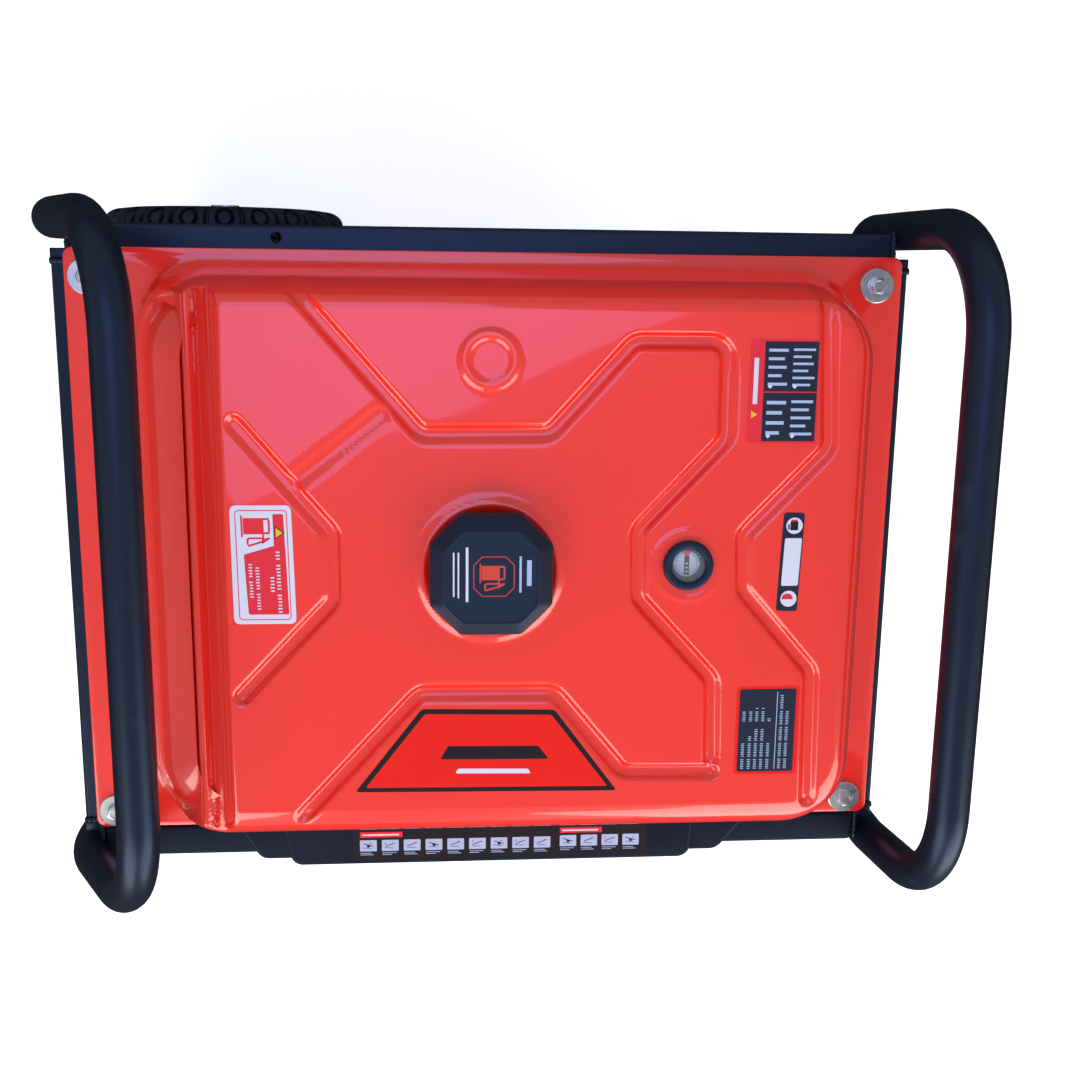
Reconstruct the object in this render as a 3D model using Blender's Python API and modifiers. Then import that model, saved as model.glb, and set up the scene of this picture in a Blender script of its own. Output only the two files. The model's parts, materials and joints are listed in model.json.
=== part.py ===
"""Open-frame portable generator with an engine, an alternator, a fuel tank and two transport wheels.

Metres, +Z up. The origin is on the ground under the middle of the machine. The long side is along X,
the control panel faces -Y, and the wheels are at the -X end.
"""

import math

import bmesh
import bpy
from mathutils import Matrix, Vector

MM = 0.001
GAP = 0.3 * MM  # between two pieces that touch
ROD_SIDES = 16
TURN_STEPS = 24
WHEEL_STEPS = 32

# Frame
TUBE_RADIUS = 16 * MM
FRAME_LENGTH = 732 * MM  # over the legs, along X
FRAME_WIDTH = 572 * MM  # over the legs, along Y
FLANGE_TOP = 430 * MM  # top of the tank's flange above the ground
HOOP_RISE = 135 * MM  # middle of the hoops' top bars above the flange
HOOP_CORNER = 85 * MM
KNEE_DROP = 18 * MM  # the hoops start to lean this far below the flange
KNEE_BEND = 120 * MM
LEFT_LEAN = 81 * MM  # towards the middle, at the top bar
RIGHT_LEAN = -10 * MM
SKID_HEIGHT = 76 * MM
LEG_STEP_HEIGHT = 225 * MM  # the legs spread out above this height
LEG_STEP_BEND = 45 * MM
RAIL_DROP = 8 * MM  # rail top below the flange top
RAIL_THICKNESS = 3 * MM
RAIL_DEPTH = 25 * MM
LONG_RAIL_WIDTH = 30 * MM
END_RAIL_WIDTH = 45 * MM
RAIL_HOLE_RADIUS = 4.6 * MM
RAIL_HOLE_X = -171 * MM
RAIL_INSET_X = 2 * MM  # rail outer face from the leg's middle, inwards
RAIL_INSET_Y = 3 * MM
BEARER_WIDTH = 40 * MM
BEARER_DEPTH = 25 * MM
MOUNT_RADIUS = 18 * MM
MOUNT_HEIGHT = 22 * MM

# Wheels and feet
TYRE_RADIUS = 120 * MM
TYRE_WIDTH = 82 * MM
RIM_RADIUS = 64 * MM
RIM_WIDTH = 58 * MM
AXLE_RADIUS = 10 * MM
WHEEL_PROUD = 2 * MM  # tyre's outer face beyond the legs
AXLE_PROUD = 4 * MM  # axle head beyond the tyre
AXLE_HEAD_RADIUS = 14 * MM
SKID_TO_TYRE = 7 * MM
RUNNING_CLEARANCE = 0.5 * MM
FOOT_RADIUS = 24 * MM
FOOT_X = 300 * MM

# Tank
TANK_WALL = 1.5 * MM
FLANGE_INSET = (12 * MM, 8 * MM, 19 * MM)  # rail seen beside it: left, right, back
FLANGE_FRONT_GAP = 27 * MM  # flange to the front rail's outer face
FLANGE_CORNER = 8 * MM
TANK_HEIGHT = 95 * MM
TANK_CORNER = 58 * MM
PAN_DEPTH = 30 * MM
BOLT_INSET_X = (17 * MM, 21 * MM)  # bolt middle from the flange's edge: left, right
BOLT_INSET_Y = (15 * MM, 23 * MM)  # the same at the front and the back
BOLT_RADIUS = 4 * MM
BOLT_CLEARANCE = 0.6 * MM
BOLT_HEAD_RADIUS = 7.5 * MM
BOLT_HEAD_HEIGHT = 5.5 * MM
BOLT_LENGTH = 24 * MM
WASHER_RADIUS = 14 * MM
WASHER_THICKNESS = 2 * MM
FILLER = Vector((-3 * MM, 8 * MM))
NECK_RADIUS = 30 * MM
NECK_WALL = 3.5 * MM
NECK_RISE = 8 * MM
CAP_WIDTH = 94 * MM
CAP_CHAMFER = 23.5 * MM
CAP_HEIGHT = 24 * MM
CAP_TOP_WIDTH = 72 * MM
CAP_TOP_CHAMFER = 14.5 * MM
CAP_FLOAT = 4 * MM  # cap's lower edge above the tank top
SEAL_THICKNESS = 3 * MM
STRAINER_DEPTH = 60 * MM
GAUGE = Vector((151 * MM, 11 * MM))
GAUGE_RADIUS = 19.7 * MM
GAUGE_STEM_RADIUS = 16 * MM
GAUGE_CLEARANCE = 1 * MM
GAUGE_WELL_RADIUS = 13.5 * MM
GAUGE_STEM = 32 * MM
FLOAT_ARM = 75 * MM
FLOAT_RADIUS = 12 * MM
BOSS = Vector((-4 * MM, 169 * MM))
BOSS_RADIUS = 23.5 * MM
PAN_SHIFT = 12 * MM  # the pan's right wall lies this much further out than its left one
BOSS_RISE = 2 * MM

# Fuel line
TAP = Vector((-225 * MM, -120 * MM, 366 * MM))
TAP_RADIUS = 6 * MM
TAP_BODY_RADIUS = 10 * MM
TAP_OUTLET = 26 * MM
HOSE_RADIUS = 4 * MM
HOSE_LEAD = 14 * MM  # straight stretch before the carburettor

# Engine
CRANK_HEIGHT = 222 * MM
SHAFT_RADIUS = 18 * MM
ENGINE_X = -126 * MM
CASE_SIZE = Vector((128 * MM, 190 * MM, 188 * MM))
CYLINDER_TILT = math.radians(20)
CYLINDER_SIZE = (106 * MM, 96 * MM)
CYLINDER_LENGTH = 70 * MM
HEAD_LENGTH = 40 * MM
VALVE_COVER_LENGTH = 24 * MM
FIN_COUNT = 6
FIN_THICKNESS = 3 * MM
FIN_PROUD = 7 * MM
HOUSING_DEPTH = 70 * MM
HOUSING_WIDTH = 245 * MM
HOUSING_HEIGHT = 217 * MM
FLYWHEEL_RADIUS = 88 * MM
FLYWHEEL_THICKNESS = 36 * MM
HOUSING_WALL = 4 * MM
RECOIL_RADIUS = 98 * MM
RECOIL_DEPTH = 36 * MM
GRIP_LENGTH = 84 * MM
GRIP_RADIUS = 10 * MM
FILTER_SIZE = Vector((120 * MM, 52 * MM, 82 * MM))
FILTER_WALL = 3 * MM
FILTER_COVER_DEPTH = 60 * MM
CARB_RADIUS = 18 * MM
BOWL_RADIUS = 20 * MM
SILENCER_LENGTH = 260 * MM
SILENCER_WIDTH = 104 * MM
SILENCER_HEIGHT = 118 * MM
PIPE_RADIUS = 15 * MM
CARB_Y = -48 * MM
CARB_HALF_LENGTH = 33 * MM
THROAT_RISE = 42 * MM  # carburettor's axis above the crankcase
BARB_RISE = 32 * MM
BARB_REACH = 32 * MM
OIL_RISE = 40 * MM  # oil filler above the engine's base
OIL_OFFSET = 34 * MM  # oil filler from the engine's middle
DIPSTICK_RADIUS = 8 * MM
DIPSTICK_DEPTH = 28 * MM

# Alternator
STATOR_RADIUS = 106 * MM
STATOR_LENGTH = 220 * MM
BELL_LENGTH = 50 * MM
STATOR_BORE = 73 * MM
ROTOR_RADIUS = 70 * MM
ROTOR_LENGTH = 190 * MM
END_COVER_LENGTH = 74 * MM
END_SHAFT_RADIUS = 11 * MM

# Control panel
PANEL_HEIGHT = 180 * MM
PANEL_DEPTH = 30 * MM
PANEL_WALL = 3 * MM
PANEL_LEG_GAP = 4 * MM
PANEL_TOP_DROP = 3 * MM
BLOCK_LENGTH = 354 * MM
BLOCK_X = 5.5 * MM
BLOCK_PROUD = 9 * MM
BLOCK_RISE = 3 * MM
STEP_LENGTH = 32 * MM
STEP_PROUD = 3 * MM
SOCKET_X = (40 * MM, 128 * MM)
SOCKET_DROP = 95 * MM  # socket middle below the panel's top
SOCKET_RADIUS = 24 * MM
FLAP_SIZE = 60 * MM
FLAP_THICKNESS = 4 * MM
HINGE_RADIUS = 2.5 * MM
METER_X = -125 * MM
METER_DROP = 58 * MM
METER_RADIUS = 25 * MM
METER_CLEARANCE = 1.5 * MM
KEY_DROP = 140 * MM
KEY_RADIUS = 9 * MM
BREAKER_X = -48 * MM
BREAKER_SIZE = Vector((16 * MM, 12 * MM, 22 * MM))

# Battery
BATTERY_SIZE = Vector((145 * MM, 80 * MM, 98 * MM))
BATTERY_X = 172 * MM
CLAMP_THICKNESS = 2.5 * MM
CLAMP_WIDTH = 22 * MM

# Places that follow from the sizes above
LEG_X = FRAME_LENGTH / 2 - TUBE_RADIUS
LEG_Y = FRAME_WIDTH / 2 - TUBE_RADIUS
TYRE_OUTER_Y = FRAME_WIDTH / 2 + WHEEL_PROUD
WHEEL_Y = TYRE_OUTER_Y - TYRE_WIDTH / 2
SKID_Y = TYRE_OUTER_Y - TYRE_WIDTH - SKID_TO_TYRE - TUBE_RADIUS
WHEEL_X = -(LEG_X + TUBE_RADIUS - RIGHT_LEAN) + TYRE_RADIUS
HOOP_TOP = FLANGE_TOP + HOOP_RISE
RAIL_TOP = FLANGE_TOP - RAIL_DROP
RAIL_X = LEG_X - RAIL_INSET_X
RAIL_Y = LEG_Y - RAIL_INSET_Y
FLANGE_LEFT = -RAIL_X + FLANGE_INSET[0]
FLANGE_RIGHT = RAIL_X - FLANGE_INSET[1]
FLANGE_BACK = RAIL_Y - FLANGE_INSET[2]
FLANGE_FRONT = -RAIL_Y + FLANGE_FRONT_GAP
TANK_TOP = FLANGE_TOP + TANK_HEIGHT
PAN_BOTTOM = FLANGE_TOP - TANK_WALL - PAN_DEPTH
BOLT_PLACES = {
    f"tank_bolt_{row}_{side}": (x, y)
    for row, y in (("front", FLANGE_FRONT + BOLT_INSET_Y[0]), ("back", FLANGE_BACK - BOLT_INSET_Y[1]))
    for side, x in (("left", FLANGE_LEFT + BOLT_INSET_X[0]), ("right", FLANGE_RIGHT - BOLT_INSET_X[1]))
}
BEARER_TOP = SKID_HEIGHT + 13 * MM
ENGINE_BASE = BEARER_TOP + MOUNT_HEIGHT
CASE_LEFT = ENGINE_X - CASE_SIZE.x / 2
CASE_RIGHT = ENGINE_X + CASE_SIZE.x / 2
HOUSING_RIGHT = CASE_LEFT - GAP
HOUSING_LEFT = HOUSING_RIGHT - HOUSING_DEPTH
STATOR_LEFT = CASE_RIGHT + GAP
STATOR_RIGHT = STATOR_LEFT + BELL_LENGTH + STATOR_LENGTH
CASE_TOP = ENGINE_BASE + GAP + CASE_SIZE.z
BARB_HEIGHT = CASE_TOP + BARB_RISE
THROAT_HEIGHT = CASE_TOP + THROAT_RISE
OIL_FILLER = Vector((ENGINE_X + OIL_OFFSET, -CASE_SIZE.y / 2, ENGINE_BASE + OIL_RISE))
PANEL_X = LEG_X - TUBE_RADIUS - PANEL_LEG_GAP
PANEL_TOP = FLANGE_TOP - PANEL_TOP_DROP
PANEL_FRONT = -RAIL_Y - RUNNING_CLEARANCE - PANEL_WALL - 1.5 * MM
BLOCK_FRONT = PANEL_FRONT - BLOCK_PROUD
CAP_BOTTOM = TANK_TOP + CAP_FLOAT
NECK_TOP = TANK_TOP + NECK_RISE

parts = None
cutters = None


def start():
    """Clears the scene and makes the two collections."""
    global parts, cutters
    for obj in list(bpy.data.objects):
        bpy.data.objects.remove(obj, do_unlink=True)
    parts = bpy.data.collections.new("portable_generator")
    cutters = bpy.data.collections.new("cutters")
    bpy.context.scene.collection.children.link(parts)
    bpy.context.scene.collection.children.link(cutters)


def make_material(name, colour, roughness, metallic):
    material = bpy.data.materials.new(name)
    material.use_nodes = True
    shader = material.node_tree.nodes["Principled BSDF"]
    shader.inputs["Base Color"].default_value = (*colour, 1)
    shader.inputs["Roughness"].default_value = roughness
    shader.inputs["Metallic"].default_value = metallic
    material.diffuse_color = (*colour, 1)
    return material


def add(name, mesh, material=None, place=(0, 0, 0), turn=(0, 0, 0)):
    """Puts a mesh in the scene as a part or, with no material, as a cutter."""
    obj = bpy.data.objects.new(name, mesh)
    obj.location = place
    obj.rotation_euler = turn
    if material:
        mesh.materials.append(material)
        mesh.shade_smooth()
        mesh.set_sharp_from_angle(angle=math.radians(35))
        parts.objects.link(obj)
    else:
        obj.hide_render = True
        obj.display_type = "WIRE"
        cutters.objects.link(obj)
    return obj


def to_mesh(name, shape):
    mesh = bpy.data.meshes.new(name)
    bmesh.ops.recalc_face_normals(shape, faces=shape.faces)
    shape.to_mesh(mesh)
    shape.free()
    return mesh


def box(name, low, high, material=None, bevel=0.0):
    """A box between two corners, with its object's origin at its middle."""
    low = Vector(low)
    high = Vector(high)
    shape = bmesh.new()
    bmesh.ops.create_cube(shape, size=1)
    bmesh.ops.scale(shape, vec=high - low, verts=shape.verts)
    if bevel:
        bmesh.ops.bevel(shape, geom=shape.edges, offset=bevel, segments=2, profile=0.5, affect="EDGES")
    return add(name, to_mesh(name, shape), material, (low + high) / 2)


def rod(name, start, end, radius, material=None, sides=ROD_SIDES, end_radius=None):
    """A cylinder or cone between two points, with its object's origin at the first point."""
    start = Vector(start)
    along = Vector(end) - start
    shape = bmesh.new()
    bmesh.ops.create_cone(
        shape,
        cap_ends=True,
        segments=sides,
        radius1=radius,
        radius2=radius if end_radius is None else end_radius,
        depth=along.length,
    )
    bmesh.ops.translate(shape, verts=shape.verts, vec=(0, 0, along.length / 2))
    turn = along.to_track_quat("Z", "Y").to_euler()
    return add(name, to_mesh(name, shape), material, start, turn)


def turned(name, profile, material=None, place=(0, 0, 0), turn=(0, 0, 0), steps=TURN_STEPS, ring=False):
    """A profile of (radius, height) points, from the top down its outer side, turned about its Z axis."""
    mesh = bpy.data.meshes.new(name)
    edges = [(i, i + 1) for i in range(len(profile) - 1)]
    if ring:
        edges.append((len(profile) - 1, 0))
    mesh.from_pydata([(radius, 0, height) for radius, height in profile], edges, [])
    obj = add(name, mesh, material, place, turn)
    screw = obj.modifiers.new("turn", "SCREW")
    screw.steps = steps
    screw.render_steps = steps
    screw.use_merge_vertices = True
    screw.merge_threshold = 0.00001
    screw.use_smooth_shade = True
    return obj


def bent_path(corners, bends, steps=5):
    """The corners joined by straight runs, with an arc of the given bend radius at each inner corner."""
    corners = [Vector(corner) for corner in corners]
    path = [corners[0]]
    for before, corner, after, bend in zip(corners, corners[1:], corners[2:], bends):
        back = (before - corner).normalized()
        ahead = (after - corner).normalized()
        half = back.angle(ahead) / 2
        middle = corner + (back + ahead).normalized() * bend / math.sin(half)
        first = (corner + back * bend / math.tan(half) - middle).normalized()
        last = (corner + ahead * bend / math.tan(half) - middle).normalized()
        path += [middle + first.slerp(last, i / steps) * bend for i in range(steps + 1)]
    path.append(corners[-1])
    return path


def tube(name, path, radius, material=None, roundness=2):
    """A round tube or rod along a path, as a mesh."""
    curve = bpy.data.curves.new(name, "CURVE")
    curve.dimensions = "3D"
    curve.bevel_depth = radius
    curve.bevel_resolution = roundness
    curve.use_fill_caps = True
    spline = curve.splines.new("POLY")
    spline.points.add(len(path) - 1)
    for point, place in zip(spline.points, path):
        point.co = (*place, 1)
    guide = bpy.data.objects.new(name + "_path", curve)
    cutters.objects.link(guide)
    graph = bpy.context.evaluated_depsgraph_get()
    mesh = bpy.data.meshes.new_from_object(guide.evaluated_get(graph))
    bpy.data.objects.remove(guide)
    shape = bmesh.new()
    shape.from_mesh(mesh)
    bmesh.ops.remove_doubles(shape, verts=shape.verts, dist=0.00001)
    bpy.data.meshes.remove(mesh)
    return add(name, to_mesh(name, shape), material)


def cut(obj, *tools):
    for tool in tools:
        modifier = obj.modifiers.new("cut", "BOOLEAN")
        modifier.operation = "DIFFERENCE"
        modifier.object = tool


def unite(obj, *tools):
    for tool in tools:
        modifier = obj.modifiers.new("join", "BOOLEAN")
        modifier.operation = "UNION"
        modifier.object = tool


def rounded_rectangle(left, right, front, back, radius, height, steps=3):
    """Points round a rectangle with round corners, anticlockwise from above."""
    corners = (
        (right - radius, back - radius, 0),
        (left + radius, back - radius, 90),
        (left + radius, front + radius, 180),
        (right - radius, front + radius, 270),
    )
    points = []
    for x, y, first in corners:
        for i in range(steps + 1):
            angle = math.radians(first + 90 * i / steps)
            points.append(Vector((x + radius * math.cos(angle), y + radius * math.sin(angle), height)))
    return points


def loft(name, rings, material=None, place=(0, 0, 0)):
    """A closed solid through rings of equally many points, with a face at each end."""
    shape = bmesh.new()
    rows = [[shape.verts.new(point) for point in ring] for ring in rings]
    for row, after in zip(rows, rows[1:]):
        for i in range(len(row)):
            j = (i + 1) % len(row)
            shape.faces.new((row[i], row[j], after[j], after[i]))
    shape.faces.new(rows[0])
    shape.faces.new(rows[-1])
    return add(name, to_mesh(name, shape), material, place)


def chamfered_square(width, chamfer, height):
    half = width / 2
    short = half - chamfer
    outline = ((half, -short), (half, short), (short, half), (-short, half))
    outline += tuple((-x, -y) for x, y in outline)
    return [Vector((x, y, height)) for x, y in outline]


def angle_rail(name, low, high, outward, material):
    """A steel angle: its flat leg fills the box, and its other leg hangs from the outward side."""
    flat = box(name, low, high, material)
    edge_low = Vector(low)
    edge_high = Vector(high)
    edge_low.z = high[2] - RAIL_DEPTH
    axis = 0 if outward[0] else 1
    if outward[axis] > 0:
        edge_low[axis] = high[axis] - RAIL_THICKNESS
    else:
        edge_high[axis] = low[axis] + RAIL_THICKNESS
    unite(flat, box(name + "_edge", edge_low, edge_high))
    return flat


def make_hoop(name, side, lean, steel):
    """One end hoop. Its legs stand on the skids, spread out over the wheels and lean to the top bar."""
    x = side * LEG_X
    top_x = x - side * lean
    half = [
        (x, SKID_Y, SKID_HEIGHT),
        (x, SKID_Y, LEG_STEP_HEIGHT),
        (x, LEG_Y, LEG_STEP_HEIGHT + LEG_Y - SKID_Y),
        (x, LEG_Y, FLANGE_TOP - KNEE_DROP),
        (top_x, LEG_Y, HOOP_TOP),
    ]
    corners = half + [(px, -py, pz) for px, py, pz in reversed(half)]
    bends = [LEG_STEP_BEND, LEG_STEP_BEND, KNEE_BEND, HOOP_CORNER]
    path = bent_path(corners, bends + bends[::-1])
    hoop = tube(name, path, TUBE_RADIUS, steel)
    tube(name + "_clearance", path, TUBE_RADIUS + GAP)
    for end in (-1, 1):
        start = (-LEG_X * 2, end * SKID_Y, SKID_HEIGHT)
        finish = (LEG_X * 2, end * SKID_Y, SKID_HEIGHT)
        cut(hoop, rod(f"{name}_saddle_{end}", start, finish, TUBE_RADIUS + GAP))
    return hoop


def make_frame(steel):
    make_hoop("left_hoop", -1, LEFT_LEAN, steel)
    make_hoop("right_hoop", 1, RIGHT_LEAN, steel)
    skid_end = LEG_X + TUBE_RADIUS
    for name, side in (("front", -1), ("back", 1)):
        y = side * SKID_Y
        rod(f"{name}_skid", (-skid_end, y, SKID_HEIGHT), (skid_end, y, SKID_HEIGHT), TUBE_RADIUS, steel)
        outer = side * RAIL_Y
        inner = side * (RAIL_Y - LONG_RAIL_WIDTH)
        low = (-LEG_X + TUBE_RADIUS + GAP, min(outer, inner), RAIL_TOP - RAIL_THICKNESS)
        high = (LEG_X - TUBE_RADIUS - GAP, max(outer, inner), RAIL_TOP)
        rail = angle_rail(f"{name}_rail", low, high, (0, side), steel)
        cut(rail, bpy.data.objects["left_hoop_clearance"], bpy.data.objects["right_hoop_clearance"])
        if side > 0:
            hole_y = RAIL_Y - LONG_RAIL_WIDTH / 3
            start = (RAIL_HOLE_X, hole_y, RAIL_TOP - RAIL_DEPTH)
            cut(rail, rod("rail_hole", start, (RAIL_HOLE_X, hole_y, FLANGE_TOP), RAIL_HOLE_RADIUS))
    for name, side in (("left", -1), ("right", 1)):
        outer = side * RAIL_X
        inner = side * (RAIL_X - END_RAIL_WIDTH)
        end_y = RAIL_Y - LONG_RAIL_WIDTH - GAP
        low = (min(outer, inner), -end_y, RAIL_TOP - RAIL_THICKNESS)
        high = (max(outer, inner), end_y, RAIL_TOP)
        rail = angle_rail(f"{name}_rail", low, high, (side, 0), steel)
        for bolt, (x, y) in BOLT_PLACES.items():
            if bolt.endswith(name):
                start = (x, y, RAIL_TOP - RAIL_DEPTH)
                hole = rod(bolt + "_rail_hole", start, (x, y, FLANGE_TOP), BOLT_RADIUS + BOLT_CLEARANCE)
                cut(rail, hole)
    for name, x in (("left", ENGINE_X), ("right", STATOR_LEFT + BELL_LENGTH + STATOR_LENGTH * 0.6)):
        make_bearer(name + "_bearer", x, steel)


def make_bearer(name, x, steel):
    """A cross member between the skids, with two posts that carry the engine or the alternator."""
    half = BEARER_WIDTH / 2
    end_y = SKID_Y + TUBE_RADIUS * 0.5
    low = (x - half, -end_y, BEARER_TOP - BEARER_DEPTH)
    bearer = box(name, low, (x + half, end_y, BEARER_TOP), steel)
    for side in (-1, 1):
        y = side * SKID_Y
        start = (x - BEARER_WIDTH, y, SKID_HEIGHT)
        cut(bearer, rod(f"{name}_skid_{side}", start, (x + BEARER_WIDTH, y, SKID_HEIGHT), TUBE_RADIUS + GAP))
        base = (x, side * CASE_SIZE.y * 0.42, BEARER_TOP - 2 * MM)
        top = (x, side * CASE_SIZE.y * 0.42, ENGINE_BASE)
        unite(bearer, rod(f"{name}_mount_{side}", base, top, MOUNT_RADIUS))


def tyre_profile(steps=12):
    """A round-shouldered tyre: a flattened ellipse, open at the rim."""
    middle = (TYRE_RADIUS + RIM_RADIUS) / 2
    tall = (TYRE_RADIUS - RIM_RADIUS) / 2
    points = []
    for i in range(steps):
        angle = math.pi / 2 - math.tau * i / steps
        wide = math.copysign(abs(math.sin(angle)) ** 0.8, math.sin(angle))
        high = math.copysign(abs(math.cos(angle)) ** 0.8, math.cos(angle))
        radius = max(middle + tall * high, RIM_RADIUS + GAP)
        points.append((radius, wide * TYRE_WIDTH / 2))
    return points


def make_wheels(rubber, rim_paint, zinc):
    for name, side in (("front", -1), ("back", 1)):
        place = (WHEEL_X, side * WHEEL_Y, TYRE_RADIUS)
        turn = (math.radians(-90), 0, 0)
        turned(f"{name}_tyre", tyre_profile(), rubber, place, turn, steps=WHEEL_STEPS, ring=True)
        half = RIM_WIDTH / 2
        lip = RIM_RADIUS - 1.5 * MM
        web = 5 * MM
        bore = AXLE_RADIUS + RUNNING_CLEARANCE
        hub = AXLE_RADIUS + 9 * MM
        flank = lip - 6 * MM
        outer_side = [(bore, half), (hub, half), (hub, web), (flank, web), (flank, half), (lip, half)]
        profile = outer_side + [(radius, -height) for radius, height in reversed(outer_side)]
        turned(f"{name}_rim", profile, rim_paint, place, turn, steps=WHEEL_STEPS, ring=True)
        inner = SKID_Y + TUBE_RADIUS + GAP
        outer = TYRE_OUTER_Y + AXLE_PROUD
        start = (WHEEL_X, side * inner, TYRE_RADIUS)
        axle = rod(f"{name}_axle", start, (WHEEL_X, side * outer, TYRE_RADIUS), AXLE_RADIUS, zinc)
        head_start = (WHEEL_X, side * (WHEEL_Y + half + 2 * MM), TYRE_RADIUS)
        head = rod(f"{name}_axle_head", head_start, (WHEEL_X, side * outer, TYRE_RADIUS), AXLE_HEAD_RADIUS)
        plate_low = (WHEEL_X - 25 * MM, min(side * inner, side * (inner + 4 * MM)), SKID_HEIGHT - 12 * MM)
        plate_high = (WHEEL_X + 25 * MM, max(side * inner, side * (inner + 4 * MM)), TYRE_RADIUS + 16 * MM)
        unite(axle, head, box(f"{name}_axle_plate", plate_low, plate_high))


def make_feet(rubber):
    for name, side in (("front", -1), ("back", 1)):
        x = FOOT_X
        y = side * SKID_Y
        foot = rod(f"{name}_foot", (x, y, 0), (x, y, SKID_HEIGHT), FOOT_RADIUS, rubber, end_radius=15 * MM)
        start = (x - FOOT_RADIUS * 2, y, SKID_HEIGHT)
        cut(foot, rod(f"{name}_foot_saddle", start, (x + FOOT_RADIUS * 2, y, SKID_HEIGHT), TUBE_RADIUS + GAP))
        top = SKID_HEIGHT - 3 * MM
        low = (x - FOOT_RADIUS * 2, y - FOOT_RADIUS * 2, top)
        cut(foot, box(f"{name}_foot_top", low, (x + FOOT_RADIUS * 2, y + FOOT_RADIUS * 2, top + FOOT_RADIUS)))


def upper_rings(shrink):
    """The tank's pressed upper half, from the flange to the top. The left end rises in steps."""
    left = FLANGE_LEFT
    right = FLANGE_RIGHT
    front = FLANGE_FRONT
    back = FLANGE_BACK
    rows = [
        (0.0, 51, 37, 11, 11, TANK_CORNER),
        (0.1, 55, 38, 12, 13, TANK_CORNER),
        (0.36, 68, 40, 15, 18, TANK_CORNER),
        (0.58, 76, 42, 19, 22, TANK_CORNER),
        (0.78, 103, 45, 26, 27, TANK_CORNER),
        (0.93, 118, 51, 38, 31, TANK_CORNER * 0.8),
        (1.0, 129, 62, 52, 37, TANK_CORNER * 0.7),
    ]
    rings = [
        rounded_rectangle(left, right, front, back, FLANGE_CORNER, FLANGE_TOP - shrink),
    ]
    for rise, from_left, from_right, from_front, from_back, corner in rows:
        rings.append(
            rounded_rectangle(
                left + from_left * MM + shrink,
                right - from_right * MM - shrink,
                front + from_front * MM + shrink,
                back - from_back * MM - shrink,
                corner,
                FLANGE_TOP + rise * TANK_HEIGHT - shrink,
            )
        )
    return rings


def pan_rings(shrink):
    """The tank's lower half, from its flange under the upper one down to the bottom."""
    left = FLANGE_LEFT
    right = FLANGE_RIGHT
    front = FLANGE_FRONT
    back = FLANGE_BACK
    top = FLANGE_TOP - TANK_WALL - GAP - TANK_WALL
    rings = [rounded_rectangle(left, right, front, back, FLANGE_CORNER, top + shrink)]
    for drop, inset in ((0.0, 55), (0.15, 57), (0.8, 64), (1.0, 74)):
        side = inset * MM * 0.35 + shrink
        rings.append(
            rounded_rectangle(
                left + inset * MM + shrink,
                right - inset * MM + PAN_SHIFT - shrink,
                front + side,
                back - side,
                TANK_CORNER * 0.7,
                top - drop * PAN_DEPTH + shrink,
            )
        )
    return rings


def make_tank(paint, zinc):
    shell = loft("tank_upper_shell", upper_rings(0)[::-1] + upper_rings(TANK_WALL), paint)
    pan = loft("tank_lower_pan", pan_rings(0)[::-1] + pan_rings(TANK_WALL), paint)
    neck_low = TANK_TOP - 20 * MM
    unite(
        shell,
        rod("neck", (*FILLER, neck_low), (*FILLER, NECK_TOP), NECK_RADIUS),
        rod("boss", (*BOSS, TANK_TOP - TANK_WALL), (*BOSS, TANK_TOP + BOSS_RISE), BOSS_RADIUS),
    )
    cut(
        shell,
        rod("neck_bore", (*FILLER, neck_low - 5 * MM), (*FILLER, NECK_TOP + 5 * MM), NECK_RADIUS - NECK_WALL),
        rod(
            "gauge_hole",
            (*GAUGE, TANK_TOP - 9 * MM),
            (*GAUGE, TANK_TOP + 9 * MM),
            GAUGE_STEM_RADIUS + GAUGE_CLEARANCE,
        ),
    )
    tap = (TAP.x, TAP.y)
    cut(pan, rod("tap_hole", (*tap, PAN_BOTTOM - 9 * MM), (*tap, PAN_BOTTOM + 9 * MM), TAP_RADIUS + GAP))
    for name, (x, y) in BOLT_PLACES.items():
        radius = BOLT_RADIUS + BOLT_CLEARANCE
        for sheet in (shell, pan):
            hole = rod(f"{name}_{sheet.name}_hole", (x, y, RAIL_TOP), (x, y, FLANGE_TOP + 5 * MM), radius)
            cut(sheet, hole)
        make_bolt(name, x, y, zinc)


def make_bolt(name, x, y, zinc):
    """A hexagon bolt with its washer, through the flange and the rail."""
    base = FLANGE_TOP + GAP
    top = base + WASHER_THICKNESS + BOLT_HEAD_HEIGHT
    bolt = rod(name, (x, y, base), (x, y, base + WASHER_THICKNESS), WASHER_RADIUS, zinc)
    head = rod(name + "_head", (x, y, base + WASHER_THICKNESS / 2), (x, y, top), BOLT_HEAD_RADIUS, sides=6)
    shank_low = (x, y, base - BOLT_LENGTH)
    shank = rod(name + "_shank", shank_low, (x, y, base + WASHER_THICKNESS / 2), BOLT_RADIUS)
    unite(bolt, head, shank)


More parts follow.
